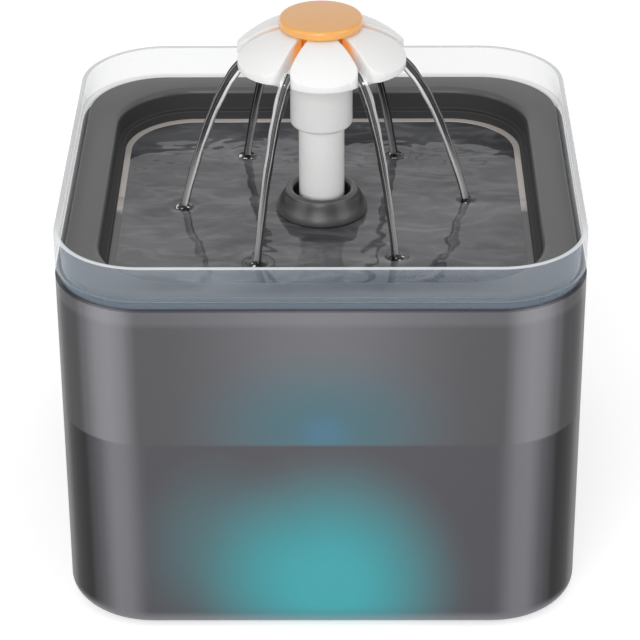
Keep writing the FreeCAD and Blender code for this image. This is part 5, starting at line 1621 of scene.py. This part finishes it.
    def build(self) -> None:
        """Model all the water."""
        self.basin()
        self.waterline()
        for jet in self.JETS:
            self.stream(jet)


@dataclass
class Kept:
    """The frame's own solids, which keep their shape and get a better finish."""

    frame: dict
    palette: Palette

    def dress(self) -> None:
        """Give every solid of the frame its finish."""
        slots = {part["node"]: part["material_slot"] for part in self.frame["record"]["subparts"]}
        for node, piece in self.frame["nodes"].items():
            for slot in piece.material_slots:
                slot.material = self.palette.get(slots[node])
            LOG.info("solid %s dressed as %s", node, slots[node])


@dataclass
class Studio:
    """The pale floor, the soft lamps and the camera."""

    distance: float = 0.98885
    target_z: float = 0.0717115
    elevation: float = 0.5152426
    azimuth: float = 0.0077431
    roll: float = 0.0049642
    focal_pixels: float = 2771.8
    picture_pixels: float = 640.0
    centre_x: float = 322.437
    floor_half: float = 3.0
    floor_glow: float = 0.5
    sky_light: float = 0.48
    sensor: float = 36.0
    near: float = 0.05

    WHITE = (1.0, 1.0, 1.0)
    FLOOR = (0.8, 0.8, 0.8)
    FLOOR_ROUGHNESS = 0.9
    # Name, place, side and power
    LAMPS = (("top", (0.1, -0.2, 1.1), 1.1, 1.3), ("front", (-0.2, -1.3, 0.6), 0.8, 8.0),
             ("left", (-0.9, -0.5, 0.5), 0.6, 2.2), ("right", (0.9, -0.5, 0.5), 0.6, 2.2))
    LAMP_AIM = (0.0, 0.0, 0.08)

    def floor(self) -> None:
        """Lay the floor, which shows white and keeps the fountain's shadow."""
        Bench.clear()
        bpy.ops.mesh.primitive_plane_add(size=2 * self.floor_half, location=(0, 0, 0))
        floor = bpy.context.object
        floor.name = "floor"
        material, nodes, shader = Nodes.material("studio_floor")
        nodes.fill(shader, {"Base Color": self.FLOOR, "Roughness": self.FLOOR_ROUGHNESS, "Specular IOR Level": 0.0})
        light = nodes.add("ShaderNodeEmission")
        nodes.fill(light, {"Color": self.WHITE, "Strength": nodes.times(nodes.seen(), self.floor_glow)})
        total = nodes.add("ShaderNodeAddShader")
        nodes.fill(total, {0: shader.outputs[0], 1: light.outputs[0]})
        nodes.link(total.outputs[0], material.node_tree.nodes["Material Output"].inputs["Surface"])
        floor.data.materials.append(material)
        floor.select_set(False)

    def sky(self) -> None:
        """Surround the scene with an even white that lights it gently."""
        world = bpy.context.scene.world or bpy.data.worlds.new("world")
        bpy.context.scene.world = world
        world.use_nodes = True
        nodes = Nodes(world.node_tree)
        world.node_tree.nodes.clear()
        sky = nodes.add("ShaderNodeBackground")
        nodes.fill(sky, {"Color": self.WHITE, "Strength": nodes.ramp(nodes.seen(), 0.0, 1.0, self.sky_light, 1.0)})
        nodes.link(sky.outputs[0], nodes.add("ShaderNodeOutputWorld").inputs["Surface"])

    def lamps(self) -> None:
        """Hang the soft boxes."""
        for name, place, size, power in self.LAMPS:
            Bench.clear()
            bpy.ops.object.light_add(type="AREA", location=place)
            lamp = bpy.context.object
            lamp.name = f"lamp_{name}"
            lamp.data.shape = "SQUARE"
            lamp.data.size = size
            lamp.data.energy = power
            aim = Vector(self.LAMP_AIM) - Vector(place)
            lamp.rotation_euler = aim.to_track_quat("-Z", "Y").to_euler()

    def camera(self) -> None:
        """Stand the camera where the photograph was taken from."""
        data = bpy.data.cameras.new("camera")
        camera = bpy.data.objects.new("camera", data)
        bpy.context.collection.objects.link(camera)
        data.sensor_width = self.sensor
        data.lens = self.focal_pixels / self.picture_pixels * data.sensor_width
        data.shift_x = 0.5 - self.centre_x / self.picture_pixels
        data.clip_start = self.near
        back = Vector((0, -math.cos(self.elevation), math.sin(self.elevation)))
        up = Vector((0, math.sin(self.elevation), math.cos(self.elevation)))
        right = Vector((1, 0, 0))
        across = right * math.cos(self.roll) - up * math.sin(self.roll)
        upward = right * math.sin(self.roll) + up * math.cos(self.roll)
        turn = Matrix.Rotation(self.azimuth, 4, "Z")
        axes = Matrix((across, upward, back)).transposed().to_4x4()
        place = Matrix.Translation(Vector((0, 0, self.target_z)) + back * self.distance)
        camera.matrix_world = turn @ place @ axes
        bpy.context.scene.camera = camera

    def build(self) -> None:
        """Set the stage."""
        bpy.context.scene.view_settings.view_transform = "Standard"
        self.sky()
        self.floor()
        self.lamps()
        self.camera()
        LOG.info("studio set")


def main() -> None:
    """Load the frame, dress it, add the water and set the stage."""
    logging.basicConfig(level=logging.INFO, format="%(name)s: %(message)s")
    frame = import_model()
    palette = Palette()
    Kept(frame, palette).dress()
    for maker in (Collar(palette), Tray(palette), Flower(palette), Water(palette)):
        maker.build()
    Studio().build()


if __name__ == "__main__":
    main()
